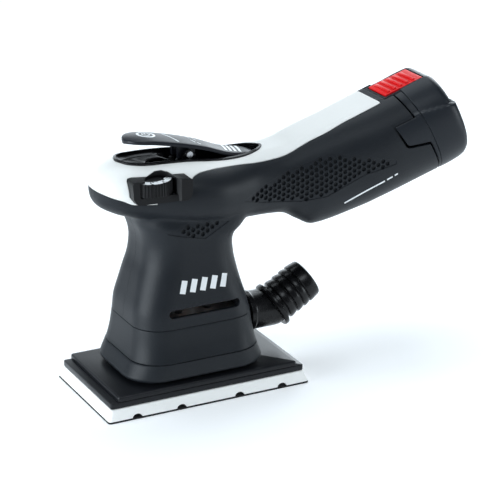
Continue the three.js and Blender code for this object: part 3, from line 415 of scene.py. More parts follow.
def smoothRows(rows, gap):  # a smooth curve through rows of numbers, a new row about every gap
    places = [0.0]
    for first, second in zip(rows, rows[1:]):
        places.append(places[-1] + math.dist(first, second))
    slopes = []
    for k in range(len(rows)):
        low, high = max(k - 1, 0), min(k + 1, len(rows) - 1)
        span = places[high] - places[low]
        slopes.append([(q - p) / span for p, q in zip(rows[low], rows[high])])
    made = []
    for k in range(len(rows) - 1):
        span = places[k + 1] - places[k]
        count = max(1, round(span / gap))
        for i in range(count):
            t = i / count
            a, b = 2 * t**3 - 3 * t**2 + 1, t**3 - 2 * t**2 + t
            c, d = 3 * t**2 - 2 * t**3, t**3 - t**2
            parts = zip(rows[k], slopes[k], rows[k + 1], slopes[k + 1])
            made.append([a * p + b * span * m + c * q + d * span * n for p, m, q, n in parts])
    made.append(list(rows[-1]))
    return made


def finishPiece(piece, look, slot, body, *nodes, angle=35):
    piece.data.materials.clear()
    piece.data.materials.append(finish[look])
    selectOnly(piece)
    bpy.ops.object.shade_smooth_by_angle(angle=math.radians(angle))
    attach(piece, body)
    if nodes:
        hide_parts(*nodes)
    return piece


# the sloping handle's own directions: along it and across it

slope = math.radians(17.5)
handleTop = 117.9
handleBottom = 58.5
handleCrown = 0.943
rimTilt = 0.17
beyond = 60  # past the widest place
pastRear = 230


def handlePoint(along, across):
    c, s = math.cos(slope), math.sin(slope)
    return along * c - across * s, along * s + across * c


def onSlope(ring):  # rows of (along, y, across)
    return [(handlePoint(s, n)[0], y, handlePoint(s, n)[1]) for s, y, n in ring]


# outer skin of the body

skin = {
    "head": [  # top x and z, bottom x and z, half width, crown
        [-57, 132.5, -57, 127.5, 3, 1],
        [-56.3, 138, -55.7, 124, 8, 1],
        [-54, 142, -53, 121, 12, 1],
        [-50, 144.8, -48.5, 118.3, 16.5, 1],
        [-44.5, 146.8, -43.5, 116, 20.5, 1],
        [-37, 148, -37, 114, 24.3, 1],
        [-28, 147.8, -28, 111.5, 27.6, 1],
        [-14, 147.2, -14, 108, 31.2, 1],
        [0, 146, 0, 106, 33.5, 1],
        [12, 144.4, 12, 104.2, 33.2, 1],
        [25, 143.2, 25, 102.8, 29.7, 1],
        [40, 142.7, 40, 102.6, 25, 0.98],
        [55, 143.2, 55, 102.4, 23.5, 0.96],
        [66, 144.8, 64, 101.3, 23.6, 0.95],
        [75, 148, 73, 96.2, 24.1, 0.943],
        [85, 151, 83.5, 91.8, 25.4, 0.943],
    ],
    "tail": [[141, 141, 27], [152, 152, 28.6], [165, 165, 29.6], [180, 190, 30], [190, 200, 30.4]],
    "neck": [  # height, front, rear, half width, corner
        [40, -40.6, 39, 31.6, 18],
        [48.3, -39.4, 37, 31, 18],
        [57.8, -38.4, 34.6, 30.3, 18],
        [67.3, -35.9, 31.9, 29.3, 18.5],
        [76.3, -33.4, 29.8, 28.4, 19],
        [85.3, -30.7, 28.2, 27.7, 19.5],
        [94.3, -29.6, 28, 27.4, 20],
        [99.3, -29.8, 30, 27.4, 20],
        [103.3, -30.6, 34.5, 27.6, 20],
        [110.3, -33, 40, 27, 20],
        [118.3, -34, 44, 23, 18],
    ],
    "neckBottom": 48.3,
    "wall": 2.6,
    "power": 2.4,
    "voxel": 1.0,
    "junction": {"reach": 7, "fade": 4, "passes": 14},  # how far the crease is softened
}


def headRing(row, grow, count):
    topX, topZ, bottomX, bottomZ, halfWidth, crown = row
    height = math.hypot(topX - bottomX, topZ - bottomZ)
    unitX, unitZ = (topX - bottomX) / height, (topZ - bottomZ) / height
    ring = []
    for k in range(count):
        angle = 2 * math.pi * k / count
        c, s = math.cos(angle), math.sin(angle)
        across = math.copysign(abs(c) ** (2 / skin["power"]), c) * (halfWidth + grow)
        up = math.copysign(min(1, abs(s) ** (2 / skin["power"]) / crown), s)
        reach = up * (height / 2 + grow)
        x, z = (topX + bottomX) / 2 + unitX * reach, (topZ + bottomZ) / 2 + unitZ * reach
        ring.append((x, across, z))
    return ring


def headRows():
    rows = [list(row) for row in skin["head"]]
    for topAlong, bottomAlong, halfWidth in skin["tail"]:
        top, bottom = handlePoint(topAlong, handleTop), handlePoint(bottomAlong, handleBottom)
        rows.append([*top, *bottom, halfWidth, handleCrown])
    return rows


def headLoft(grow, gap, count):
    rows = smoothRows(headRows(), gap)
    if grow < -1:  # an inner wall starts behind the nose's thin rows
        rows = [row for row in rows if row[0] > -54]
    return loftPiece("headLoft", [headRing(row, grow, count) for row in rows])


def roundRing(z, front, rear, halfWidth, corner, perCorner=14):
    ring = []
    corners = [(rear, halfWidth), (front, halfWidth), (front, -halfWidth), (rear, -halfWidth)]
    for quarter, (x, y) in enumerate(corners):
        middleX = x - corner if x == rear else x + corner
        middleY = y - corner if y > 0 else y + corner
        for k in range(perCorner):
            angle = math.radians(90 * quarter + 90 * k / (perCorner - 1))
            ring.append((middleX + corner * math.cos(angle), middleY + corner * math.sin(angle), z))
    return ring


def neckLoft(grow, gap, perCorner):
    rings = []
    for z, front, rear, halfWidth, corner in smoothRows(skin["neck"], gap):
        sides = (front - grow, rear + grow, halfWidth + grow, corner + grow)
        rings.append(roundRing(z, *sides, perCorner))
    return loftPiece("neckLoft", rings)


def creaseTree(piece):  # where the neck meets the head
    work = bmesh.new()
    work.from_mesh(piece.data)
    middles = []
    for edge in work.edges:
        if edge.is_manifold and edge.calc_face_angle(0) > math.radians(22):
            middle = (edge.verts[0].co + edge.verts[1].co) / 2
            if 0.095 < middle.z < 0.125 and -0.045 < middle.x < 0.055:
                middles.append(middle)
    work.free()
    tree = kdtree.KDTree(len(middles))
    for k, middle in enumerate(middles):
        tree.insert(middle, k)
    tree.balance()
    return tree, len(middles)


def makeSkin():
    body = join(headLoft(0, 1.6, 120), neckLoft(0, 1.6, 18))
    junction = skin["junction"]
    tree, found = creaseTree(body)
    modify(body, "REMESH", mode="VOXEL", voxel_size=skin["voxel"] * mm)
    group = body.vertex_groups.new(name="junction")
    for vertex in body.data.vertices:
        distance = tree.find(vertex.co)[2] / mm if found else 99
        if distance < junction["reach"]:
            weight = min(1, (junction["reach"] - distance) / junction["fade"])
            group.add([vertex.index], weight, "REPLACE")
    modify(body, "SMOOTH", factor=0.5, iterations=4)
    modify(body, "SMOOTH", factor=0.5, iterations=junction["passes"], vertex_group="junction")
    body.vertex_groups.clear()
    body.name = "skin"
    print("skin:", len(body.data.polygons), "faces,", found, "crease points")
    return body


outerSkin = makeSkin()


def grownSkin(amount):
    return modify(duplicate(outerSkin, "grownSkin"), "DISPLACE", strength=amount * mm, mid_level=0)


# rooms that are cut from the skin

seam = {  # x, half width and height of the line where the pale cover meets the dark shells
    "line": [
        [-60, 21, 140.2],
        [-56, 21.3, 139.4],
        [-52.3, 21.5, 137.8],
        [-48.7, 22, 136.6],
        [-45.1, 23, 135.6],
        [-41.4, 24, 133.9],
        [-38, 26, 133.6],
        [-12, 30, 134],
        [-8.5, 29.5, 136.4],
        [-6.7, 28.5, 139],
        [-4.5, 27, 140.6],
        [-1, 25.4, 141.1],
        [4.9, 23.5, 141],
        [14.4, 21.1, 140.7],
        [29.3, 18.2, 139.9],
        [43.4, 17.2, 139.2],
        [55, 16.7, 139.6],
        [62.2, 16.4, 140.6],
        [69.9, 15.5, 143],
        [77.8, 14.9, 146],
        [90.9, 14.6, 150.2],
        [102.9, 13.9, 154.6],
        [126.5, 12.5, 162.6],
        [140, 12, 167],
    ],
    "rearAlong": 170.9,
    "gap": 0.14,
}
dial = {
    "x": -28.5, "y": -19, "radius": 13.2, "bottom": 132.4, "top": 140.6,
    "ribs": 44, "ribDepth": 0.55, "bore": 2.55,
    "recess": 4.4, "hub": 5.6, "scale": [5.2, 0.7],  # each measured in from the edge
    "groove": [0.12, 0.5], "recessDepth": 0.5, "hubRise": 0.35, "rimBevel": 0.5, "hubBevel": 0.6,
    "digits": {"count": 6, "first": -200, "pitch": 44, "size": 2.9, "inset": 2.7, "lift": 0.14},
}
bezel = {
    "outline": [
        [-42.9, 140.4], [-42.2, 141.8], [-40, 142.4], [-35.7, 142.4], [-31.5, 142.3], [-29.5, 143],
        [-25.8, 144.1], [-21.7, 144.2], [-18.5, 143.4], [-16.4, 142.1], [-12.3, 142], [-9.2, 141.8],
        [-7.8, 140.4], [-7.6, 138.1], [-8.3, 132.8], [-9.1, 129.8], [-10.6, 128.6], [-25.2, 127.7],
        [-37.6, 127.3], [-40, 128], [-42.4, 131.6],
    ],
    "innerY": -13.8,
    "proud": 0.35,
    "base": 128,
    "roof": 142.3,
    "hood": {"x": -26.3, "y": -29.6, "radius": 9.7, "wall": 1.7, "proud": 0.9},
    "shelf": [8, 129.6, 131.8],  # half width, low and high
    "shaft": 2.9,
    "room": {"around": 0.6, "below": 0.3, "above": 0.5},  # gaps left round the dial
    "face": [
        [-45, -18], [-45, -26.6], [-38.4, -28.4], [-16.4, -30.2], [-14.6, -32.6], [-8, -33.8],
        [-8, -24],
    ],
    "opening": [-37.4, -16.6],
}


def coverRoom(grow):
    rings = []
    for x, halfWidth, z in smoothRows(seam["line"], 2.5):
        y = halfWidth + grow
        low, deep = z - grow, z - grow - 7
        rings.append([
            (x, -60, low), (x, -y, low), (x, -y + 0.5, deep), (x, y - 0.5, deep),
            (x, y, low), (x, 60, low), (x, 60, 190), (x, -60, 190),
        ])
    room = loftPiece("coverRoom", rings)
    rear = [(seam["rearAlong"] + grow, 90), (300, 90), (300, 150), (seam["rearAlong"] + grow, 150)]
    behind = loftPiece("behind", [onSlope([(s, y, n) for s, n in rear]) for y in (-70, 70)])
    return cut(room, behind)


def bezelRoom(grow, innerY):
    middle = Vector((dial["x"] + 2, 138))
    outline = []
    for place in bezel["outline"]:
        away = Vector(place) - middle
        outline.append(middle + away * ((away.length + grow) / away.length))
    return prismAlongY("bezelRoom", [tuple(p) for p in outline], -45, innerY)


tray = {
    "halfOutline": [
        [-41.2, 4], [-38.4, 9.4], [-31.5, 13], [-22, 14.2], [0, 14.4], [18, 13.7], [35, 11.6],
        [46, 8], [51.5, 3.4],
    ],
    "tips": [-42, 53.5],
    "proud": 0.9,
    "base": 134.4,
    "bowl": [  # share of the depth, and how far in; the first is the cut's open top
        [-1, 1.5], [0, 1.5], [0.25, 1.9], [0.6, 2.8], [0.85, 4], [0.97, 5.4], [1, 7],
    ],
    "depth": [3.1, 6.6],  # at the front, and what the pit behind it adds
    "pit": [-12, 7],
    "cheek": {"y": [6.2, 9], "half": 4, "low": 135.4, "wall": 0.9, "pinGap": 0.2},
    "under": [-9, 142.6],  # the front's underside ends here, at this height
    "plunger": [-4, 4.4, 1.9],
}


def trayOutline(inset, gap=1.6):
    start, end = tray["tips"]
    near = []
    for x, y in tray["halfOutline"]:
        towards = min(max(x, start + 8), end - 8)
        reach = math.hypot(x - towards, y)
        near.append([x - (x - towards) / reach * inset, y - y / reach * inset])
    half = [[start + inset, 0], *near, [end - inset, 0]]
    whole = half + [[x, -y] for x, y in reversed(near)]
    closed = smoothRows([whole[-1], *whole, whole[0], whole[1]], gap)
    first = min(range(len(closed)), key=lambda k: math.dist(closed[k], whole[0]))
    last = max(k for k in range(len(closed)) if math.dist(closed[k], whole[0]) < 1e-6)
    return [tuple(p) for p in closed[first:last]]


def uprightPrism(name, outline, z0, z1):
    return loftPiece(name, [[(x, y, z) for x, y in outline] for z in (z0, z1)])


battery = {
    "rim": 180.4,
    "rimLean": 0.25,
    "seam": 187,
    "halfWidth": 30,
    "wall": 1.6,
    "lift": [187, 22, 2.2],  # start and span along the handle, height gained
    "fade": [205, 6],
    "notch": [  # along and across, its upper and lower edges run on past the rim
        [212, 113], [169.6, 113], [167.4, 112.3], [166.8, 110.2], [172.6, 90.4], [174, 88.6],
        [176.4, 87.7], [190, 84.2], [212, 80],
    ],
    "topNotch": [174.5, 13.5],
    "stem": {
        "along": 141, "plugEnd": 199, "halfWidth": 20.3, "low": 67.6, "high": 108.8, "chamfer": 4,
    },
    "crease": [[160, 108.6], [167.8, 107.9], [188.1, 105.6], [213.4, 101.2], [222, 99.6]],
    "step": {"depth": 1.9, "soft": 0.9, "clear": 8},
    "lug": {"inset": 1.6, "y": [27, 45], "under": 0.35},
    "pocket": {"along": [176.6, 205.4], "halfWidth": 10.7, "floor": 111.2},
    "cup": {"ahead": 1.5, "end": 190, "floor": 109.6, "below": 0.4},
    "hollow": {"front": 4, "rear": [160, 210.5]},
    "terminals": {"y": 10, "along": [1, 3.2], "across": [83, 93]},
    "end": [
        [187.3, -0.3, 0.17], [187.6, 0, 0.17], [194, 0.3, 0.17], [202, 0.4, 0.17], [207.5, 0.1, 0.14],
        [210.6, -1, 0.12], [212.6, -2.8, 0.105], [213.6, -5, 0.095], [213.9, -8, 0.09],
    ],
    "frontEdge": [[181.7, -0.9, 0.25], [182.1, -0.5, 0.25], [184, -0.45, 0.21], [187, -0.25, 0.17]],
    "button": {
        "along": [177.2, 204.8], "halfWidth": 10.1, "proud": 0.4, "height": 3.8, "springSeat": 4.9,
        "ribs": 5, "ribInset": 1.6, "ribHeight": 0.85, "ribStart": 2.8, "ribShare": 0.52, "ends": 5,
        "bevel": 0.5, "ribBevel": 0.45,
    },
}


def slopedPrism(name, outline, y0, y1):  # an outline of along and across, run over the handle
    return loftPiece(name, [onSlope([(s, y, n) for s, n in outline]) for y in (y0, y1)])


def slopedBox(name, s0, s1, y0, y1, n0, n1):
    return slopedPrism(name, [(s0, n0), (s1, n0), (s1, n1), (s0, n1)], y0, y1)


def insetOutline(outline, inset):  # moves each corner of a closed outline inwards
    made = []
    count = len(outline)
    area = sum(
        outline[k][0] * outline[(k + 1) % count][1] - outline[(k + 1) % count][0] * outline[k][1]
        for k in range(count)
    )
    turn = 1 if area > 0 else -1
    for k in range(count):
        before, here, after = (Vector(outline[(k + j) % count]) for j in (-1, 0, 1))
        first, second = (here - before).normalized(), (after - here).normalized()
        inwards = Vector((-first.y - second.y, first.x + second.x)) * turn
        length = max(0.4, (1 + first.dot(second)) ** 0.5 / 2**0.5)
        made.append(tuple(here + inwards.normalized() * (inset / length)))
    return made


panels = {
    "handle": [
        [27, 120.2], [52, 129.6], [61.2, 132.7], [75.7, 135.9], [88.4, 139.2], [106.7, 135.7],
        [131.4, 130.5], [131.2, 127.9], [111.1, 123.5], [85.9, 112.9], [69.7, 111.5], [43.2, 115.2],
    ],
    "neck": [[-21, 106.4], [-7, 112.2], [18.5, 109.2], [2.6, 100.6]],
    "recess": 0.35,
    "lattice": {"pitch": 3.6, "columns": 3.1, "lift": 1.8, "middle": [60, 120], "reach": 60},
    "radius": 1.5,
    "depth": 1.75,
}


def inside(point, outline):
    x, z = point
    odd = False
    for (x0, z0), (x1, z1) in zip(outline, outline[1:] + outline[:1]):
        if (z0 > z) != (z1 > z) and x < x0 + (z - z0) * (x1 - x0) / (z1 - z0):
            odd = not odd
    return odd


def latticePoints(outline):
    lattice = panels["lattice"]
    middleX, middleZ = lattice["middle"]
    steps = range(-lattice["reach"], lattice["reach"] + 1)
    inner = insetOutline(outline, panels["radius"] * 0.7)
    found = []
    for i in steps:
        for j in steps:
            z = middleZ + j * lattice["pitch"] + i * lattice["lift"]
            point = (middleX + i * lattice["columns"], z)
            if inside(point, inner):
                found.append(point)
    return found


def dimpleCutter(target, side):
    points, faces = [], []
    corners = 8
    radius, depth = panels["radius"], panels["depth"]
    rows = [  # height over the skin, and radius
        [1.6, radius * 1.05], [-panels["recess"], radius], [-depth * 0.85, radius * 0.93],
    ]
    for outline in (panels["handle"], panels["neck"]):
        for x, z in latticePoints(outline):
            start = Vector((x, side * 60, z)) * mm
            hit, place, normal, _ = target.ray_cast(start, Vector((0, -side, 0)))
            if not hit:
                continue
            across = normal.cross(Vector((0, 0, 1))).normalized()
            up = across.cross(normal).normalized()
            first = len(points)
            for lift, size in rows:
                for k in range(corners):
                    turn = 2 * math.pi * (k + 0.5) / corners
                    spread = across * math.cos(turn) + up * math.sin(turn)
                    points.append(place / mm + spread * size + normal * lift)
            points.append(place / mm + normal * rows[0][0])
            points.append(place / mm - normal * depth)
            for r in range(len(rows) - 1):
                for k in range(corners):
                    a, b = first + r * corners + k, first + r * corners + (k + 1) % corners
                    faces.append((a, b, b + corners, a + corners))
            last = first + (len(rows) - 1) * corners
            for k in range(corners):
                step = (k + 1) % corners
                faces.append((first + step, first + k, len(points) - 2))
                faces.append((last + k, last + step, len(points) - 1))
    return outwards(meshPiece("dimples", points, faces))


def panelRecess():
    below = grownSkin(-panels["recess"])
    cutters = []
    for outline in (panels["handle"], panels["neck"]):
        for y0, y1 in ((-45, -8), (8, 45)):
            cutter = prismAlongY("panel", outline, y0, y1)
            combine(cutter, "DIFFERENCE", below)
            cutters.append(cutter)
    remove(below)
    return cutters


screws = {
    "places": [(-30.5, 58), (25.5, 58), (-43.5, 127), (58, 122), handlePoint(122, 72)],
    "boss": 4,
    "bore": 1.8,
    "boreStart": -16,
    "head": 3.3,
    "seat": 9,
}
neckSlot = {"x0": -22.5, "x1": 24.5, "z": 57.5, "height": 5, "y": [15, 45]}
shells = {
    "partition": [128, 130.4, 50, 125],  # start and end along the handle, low and high across it
    "insertHalf": 40,
    "insertInset": 0.8,
    "split": 0.1,
    "notchSide": 26.5,
    "around": 0.15,  # gap round the dial's frame and the tray
    "behindDial": 0.3,
}


def rimAt(across):
    return battery["rim"] + battery["rimLean"] * (handleTop - across)


def makeWall():
    wall = duplicate(outerSkin, "wall")
    low = box("low", -90, 90, -beyond, beyond, 0, skin["neckBottom"])
    behind = [(rimAt(140), 140), (260, 140), (260, 30), (rimAt(30), 30)]
    cut(wall, low, slopedPrism("rear", behind, -beyond, beyond))
    inner = join(headLoft(-skin["wall"], 5, 40), neckLoft(-skin["wall"], 5, 7))
    return cut(wall, inner)


def dialRoom():
    return bezelRoom(shells["around"], bezel["innerY"] + shells["behindDial"])


def addInserts(wall):  # a partition across the handle and a boss for each screw
    s0, s1, n0, n1 = shells["partition"]
    half = shells["insertHalf"]
    inserts = [slopedBox("partition", s0, s1, -half, half, n0, n1)]
    for x, z in screws["places"]:
        inserts.append(rod("boss", screws["boss"], (x, -half, z), (x, half, z), 24))
    within = grownSkin(-shells["insertInset"])
    for insert in inserts:
        combine(insert, "INTERSECT", within)
        join(wall, insert)
    remove(within)


def cutNotches(wall):  # rooms for the battery's lugs and its latch
    for y0, y1 in ((-beyond, -shells["notchSide"]), (shells["notchSide"], beyond)):
        cut(wall, slopedPrism("notch", battery["notch"], y0, y1))
    along, halfWidth = battery["topNotch"]
    cut(wall, slopedBox("topNotch", along, pastRear, -halfWidth, halfWidth, 105, 130))


def cutNeckSlots(wall):
    middle, z = neckSlot["height"] / 2, neckSlot["z"]
    x0, x1 = neckSlot["x0"] + middle, neckSlot["x1"] - middle
    for side in (-1, 1):
        y0, y1 = sorted(side * y for y in neckSlot["y"])
        body = box("slot", x0, x1, y0, y1, z - middle, z + middle)
        ends = [rod("slotEnd", middle, (x, y0, z), (x, y1, z), 32) for x in (x0, x1)]
        cut(wall, body, *ends)


def makeHalf(wall, side, name, node):
    half = duplicate(wall, name)
    y0, y1 = sorted((-side * beyond, side * shells["split"]))
    cut(half, box("halfRoom", -100, 260, y0, y1, 0, 220))
    cut(half, dimpleCutter(outerSkin, side))
    for x, z in screws["places"]:
        cut(half, rod("bore", screws["bore"], (x, screws["boreStart"], z), (x, beyond, z), 24))
        if side > 0:
            seat = (x, screws["seat"], z)
            cut(half, rod("headRoom", screws["head"], seat, (x, beyond, z), 32))
    finishPiece(half, "shellPlastic", "shell_plastic", "housing", node)
    print(name, len(half.data.polygons), "faces")


def makeCover(cover):
    keepWithin(cover, coverRoom(-seam["gap"]))
    cut(cover, dialRoom())
    cut(cover, uprightPrism("trayHole", trayOutline(-shells["around"]), 120, 180))
    finishPiece(cover, "coverPlastic", "cover_plastic", "housing", "top_cover")
    print("cover", len(cover.data.polygons), "faces")


def makeShells():
    wall = makeWall()
    cover = duplicate(wall, "topCover")
    addInserts(wall)
    cut(wall, *panelRecess())
    cut(wall, coverRoom(seam["gap"]), dialRoom())
    cutNotches(wall)
    cutNeckSlots(wall)
    makeHalf(wall, -1, "shellLeft", "shell_left")
    makeHalf(wall, 1, "shellRight", "shell_right")
    remove(wall)
    makeCover(cover)


makeShells()


# choosing parts of a mesh in edit mode

def choose(piece, kind, test):  # selects the vertices, edges or faces that pass a test
    selectOnly(piece)
    bpy.ops.object.mode_set(mode="EDIT")
    bpy.ops.mesh.select_mode(type=kind)
    bpy.ops.mesh.select_all(action="DESELECT")
    work = bmesh.from_edit_mesh(piece.data)
    group = {"VERT": work.verts, "EDGE": work.edges, "FACE": work.faces}[kind]
    for item in group:
        if test(item):
            item.select_set(True)
    bmesh.update_edit_mesh(piece.data)


def closeEdit():
    bpy.ops.object.mode_set(mode="OBJECT")


def isUpright(edge):
    way = edge.verts[1].co - edge.verts[0].co
    return abs(way.z) > 0.99 * way.length


def bevelEdges(piece, width, segments, test):
    choose(piece, "EDGE", test)
    bpy.ops.mesh.bevel(offset=width * mm, segments=segments, profile=0.5)
    closeEdit()
    return piece


def sharpEdge(edge):
    return edge.is_manifold and edge.calc_face_angle(0) > math.radians(40)


def levelEdge(edge):
    return sharpEdge(edge) and not isUpright(edge)


# pad: hook layer, foam and two plates

pad = {
    "length": 133.2, "width": 78.8, "corner": 2,
    "plateLength": 128, "plateWidth": 73.6, "plateCorner": 1.6, "ledge": 4.9,
    "hookTop": 0.8, "foam": [1.1, 7.7], "lower": [8, 11.6], "upper": [11.9, 14.9],
    "notches": [-1.75, -0.7, 0.7, 1.75], "notchPitch": 27.5,
    "notchWidth": 6.5, "notchHeight": 2.1, "notchDepth": 9,
    "screwCircle": 20.4, "screwRadius": 2.1,
    "bevels": {"hook": 0.2, "foam": 0.5, "lower": 0.45, "upper": 1},
}


def slab(name, length, width, z0, z1, corner):
    piece = box(name, -length / 2, length / 2, -width / 2, width / 2, z0, z1)
    return bevelEdges(piece, corner, 5, isUpright)


def padScrewHoles(z0, z1):
    holes = []
    for k in range(4):
        turn = math.radians(45 + 90 * k)
        x, y = pad["screwCircle"] * math.cos(turn), pad["screwCircle"] * math.sin(turn)
        holes.append(rod("hole", pad["screwRadius"], (x, y, z0 - 1), (x, y, z1 + 1), 20))
    return holes


def makeHookLayer():
    hook = slab("hookLayer", pad["length"], pad["width"], 0, pad["hookTop"], pad["corner"])
    bevelEdges(hook, pad["bevels"]["hook"], 1, levelEdge)
    finishPiece(hook, "hookFibre", "hook", "pad", "hook_layer")


def makeFoamPad():  # narrower at the top, with notches along both long sides
    z0, z1 = pad["foam"]
    foam = slab("padFoam", pad["length"], pad["width"], z0, z1, pad["corner"])
    choose(foam, "FACE", lambda face: face.normal.z > 0.9)
    narrower = (pad["plateLength"] / pad["length"], pad["plateWidth"] / pad["width"], 1)
    bpy.ops.transform.resize(value=narrower, center_override=(0, 0, z1 * mm))
    closeEdit()
    bevelEdges(foam, pad["bevels"]["foam"], 3, levelEdge)
    halfNotch, height = pad["notchWidth"] / 2, pad["notchHeight"]
    arch = [2 * math.pi * k / 40 for k in range(40)]
    for step in pad["notches"]:
        x = step * pad["notchPitch"]
        outline = [(x + halfNotch * math.cos(a), z0 + height * math.sin(a)) for a in arch]
        for side in (-1, 1):
            y0, y1 = sorted((side * (pad["width"] / 2 - pad["notchDepth"]), side * 50))
            cut(foam, prismAlongY("notch", outline, y0, y1))
    finishPiece(foam, "padFoam", "foam", "pad", "pad_foam")


def makePlate(name, length, z0, z1, bevel, segments, test, node):
    plate = slab(name, length, pad["plateWidth"], z0, z1, pad["plateCorner"])
    bevelEdges(plate, bevel, segments, test)
    cut(plate, *padScrewHoles(z0, z1))
    finishPiece(plate, "platePlastic", "plate_plastic", "pad", node)


def makePad():
    def topEdge(edge):
        return levelEdge(edge) and edge.verts[0].co.z > pad["upper"][1] * mm - 1e-5

    makeHookLayer()
    makeFoamPad()
    length, bevels = pad["plateLength"], pad["bevels"]
    makePlate("lowerPlate", length, *pad["lower"], bevels["lower"], 2, levelEdge, "lower_plate")
    length -= 2 * pad["ledge"]
    makePlate("upperPlate", length, *pad["upper"], bevels["upper"], 3, topEdge, "upper_plate")
    print("pad made")


makePad()


# skirt and ring under the neck

lowerHousing = {
    "skirt": [
        [17.5, -46.2, 42.8, 34.8, 20],
        [18.9, -47, 43.5, 35.5, 20.5],
        [22.4, -45.6, 42.3, 35.6, 20.5],
        [25.9, -44, 41, 35.5, 20.5],
        [28, -43, 40.3, 35.3, 20],
    ],
    "ring": [
        [28.3, -42.7, 40.15, 35.15, 20],
        [31.3, -41.9, 39.4, 34.2, 19.5],
        [38.15, -40.6, 38.2, 32.4, 18.6],
        [48, -39.4, 37, 31, 18],
    ],
    "wall": 2.6,
    "lip": 0.25,
    "nozzleHole": [20, 50, 37.5, 8.7],  # start, end, height and radius
}


def hollowLoft(name, rows, wall, lip):
    rows = smoothRows(rows, 1)
    rings = []
    last = len(rows) - 1
    for k, (z, front, rear, halfWidth, corner) in enumerate(rows):
        if k in (0, last):
            rings.append(roundRing(z, front + lip, rear - lip, halfWidth - lip, corner))
            inwards = lip if k == 0 else -lip
            near = roundRing(z + inwards, front, rear, halfWidth, corner)
            rings.insert(len(rings) - (k == last), near)
        elif rows[0][0] + lip < z < rows[last][0] - lip:
            rings.append(roundRing(z, front, rear, halfWidth, corner))
    outer = loftPiece(name, rings)
    inner = []
    for k, (z, front, rear, halfWidth, corner) in enumerate(rows):
        z += -1 if k == 0 else (1 if k == last else 0)
        inner.append(roundRing(z, front + wall, rear - wall, halfWidth - wall, corner - wall, 8))
    return cut(outer, loftPiece("inner", inner))


def makeLowerHousing():
    wall, lip = lowerHousing["wall"], lowerHousing["lip"]
    skirt = hollowLoft("skirtShell", lowerHousing["skirt"], wall, lip)
    finishPiece(skirt, "ringPlastic", "shell_plastic", "housing", "skirt")
    ring = hollowLoft("housingRing", lowerHousing["ring"], wall, lip)
    x0, x1, z, radius = lowerHousing["nozzleHole"]
    cut(ring, rod("nozzleHole", radius, (x0, 0, z), (x1, 0, z), 48))
    finishPiece(ring, "ringPlastic", "shell_plastic", "housing", "housing_ring")
    print("skirt and ring made")


makeLowerHousing()


# dust nozzle: profiles turned round its own line

nozzle = {
    "height": 37.5, "kneeX": 60.5, "rise": 30.7, "bore": 9.6, "plugBore": 7, "steps": 72,
    "plug": [30, 47], "tubeStart": 45.6, "knee": 12, "reach": 31,
    "inlet": [
        [33.5, 8], [33.9, 8.4], [41.6, 8.4], [41.6, 12.2], [42, 12.6], [44.6, 12.6],
        [45.2, 12.2], [46, 12], [60.5, 12],
    ],
    "spigot": [
        [0, 14.4], [0.3, 14.8], [0.9, 15], [2.3, 15], [2.9, 14.8], [3.3, 14.2], [3.5, 12.3],
        [5.6, 12.1], [5.8, 13], [6.2, 13.35], [7.2, 13.4], [9.6, 12.95], [10.6, 12.6], [10.9, 12.1],
        [11.3, 12.1], [11.5, 13], [11.9, 13.35], [12.9, 13.4], [15, 12.95], [15.9, 12.6],
        [16.2, 12.1], [16.6, 12.1], [16.8, 13], [17.2, 13.35], [18.2, 13.4], [20, 13], [20.8, 12.6],
        [21.1, 12.1], [21.5, 12.1], [21.7, 12.95], [22.1, 13.2], [23.2, 13.2], [28.2, 12.5],
        [29.1, 12.1], [29.5, 11.4],
    ],
}


def turnedPiece(name, profile):  # x and radius, turned about the x axis
    turns = [2 * math.pi * k / nozzle["steps"] for k in range(nozzle["steps"])]
    rings = [[(x, r * math.cos(turn), r * math.sin(turn)) for turn in turns] for x, r in profile]
    return loftPiece(name, rings)


def ball(name, radius, place):
    bpy.ops.object.select_all(action="DESELECT")
    middle = Vector(place) * mm
    bpy.ops.mesh.primitive_uv_sphere_add(
        segments=72, ring_count=36, radius=radius * mm, location=middle
    )
    piece = bpy.context.object
    piece.name = name
    return settle(piece)


def atKnee(piece):
    piece.rotation_euler = (0, -math.radians(nozzle["rise"]), 0)
    piece.location = (nozzle["kneeX"] * mm, 0, nozzle["height"] * mm)
    return settle(piece)


def makeNozzle():
    height, kneeX, bore = nozzle["height"], nozzle["kneeX"], nozzle["bore"]
    body = turnedPiece("dustNozzle", nozzle["inlet"])
    body.location = (0, 0, height * mm)
    settle(body)
    spigot = atKnee(turnedPiece("spigot", nozzle["spigot"]))
    join(body, ball("knee", nozzle["knee"], (kneeX, 0, height)), spigot)
    plug = rod("plugBore", nozzle["plugBore"], *[(x, 0, height) for x in nozzle["plug"]], 48)
    tube = rod("tubeBore", bore, (nozzle["tubeStart"], 0, height), (kneeX, 0, height), 64)
    elbow = ball("kneeBore", bore, (kneeX, 0, height))
    mouth = atKnee(rod("mouth", bore, (0, 0, 0), (nozzle["reach"], 0, 0), 64))
    cut(body, plug, tube, elbow, mouth)
    finishPiece(body, "nozzlePlastic", "gloss_plastic", "housing", "dust_nozzle", angle=28)
    print("nozzle made")


makeNozzle()


# lever, its tray and what is printed on it

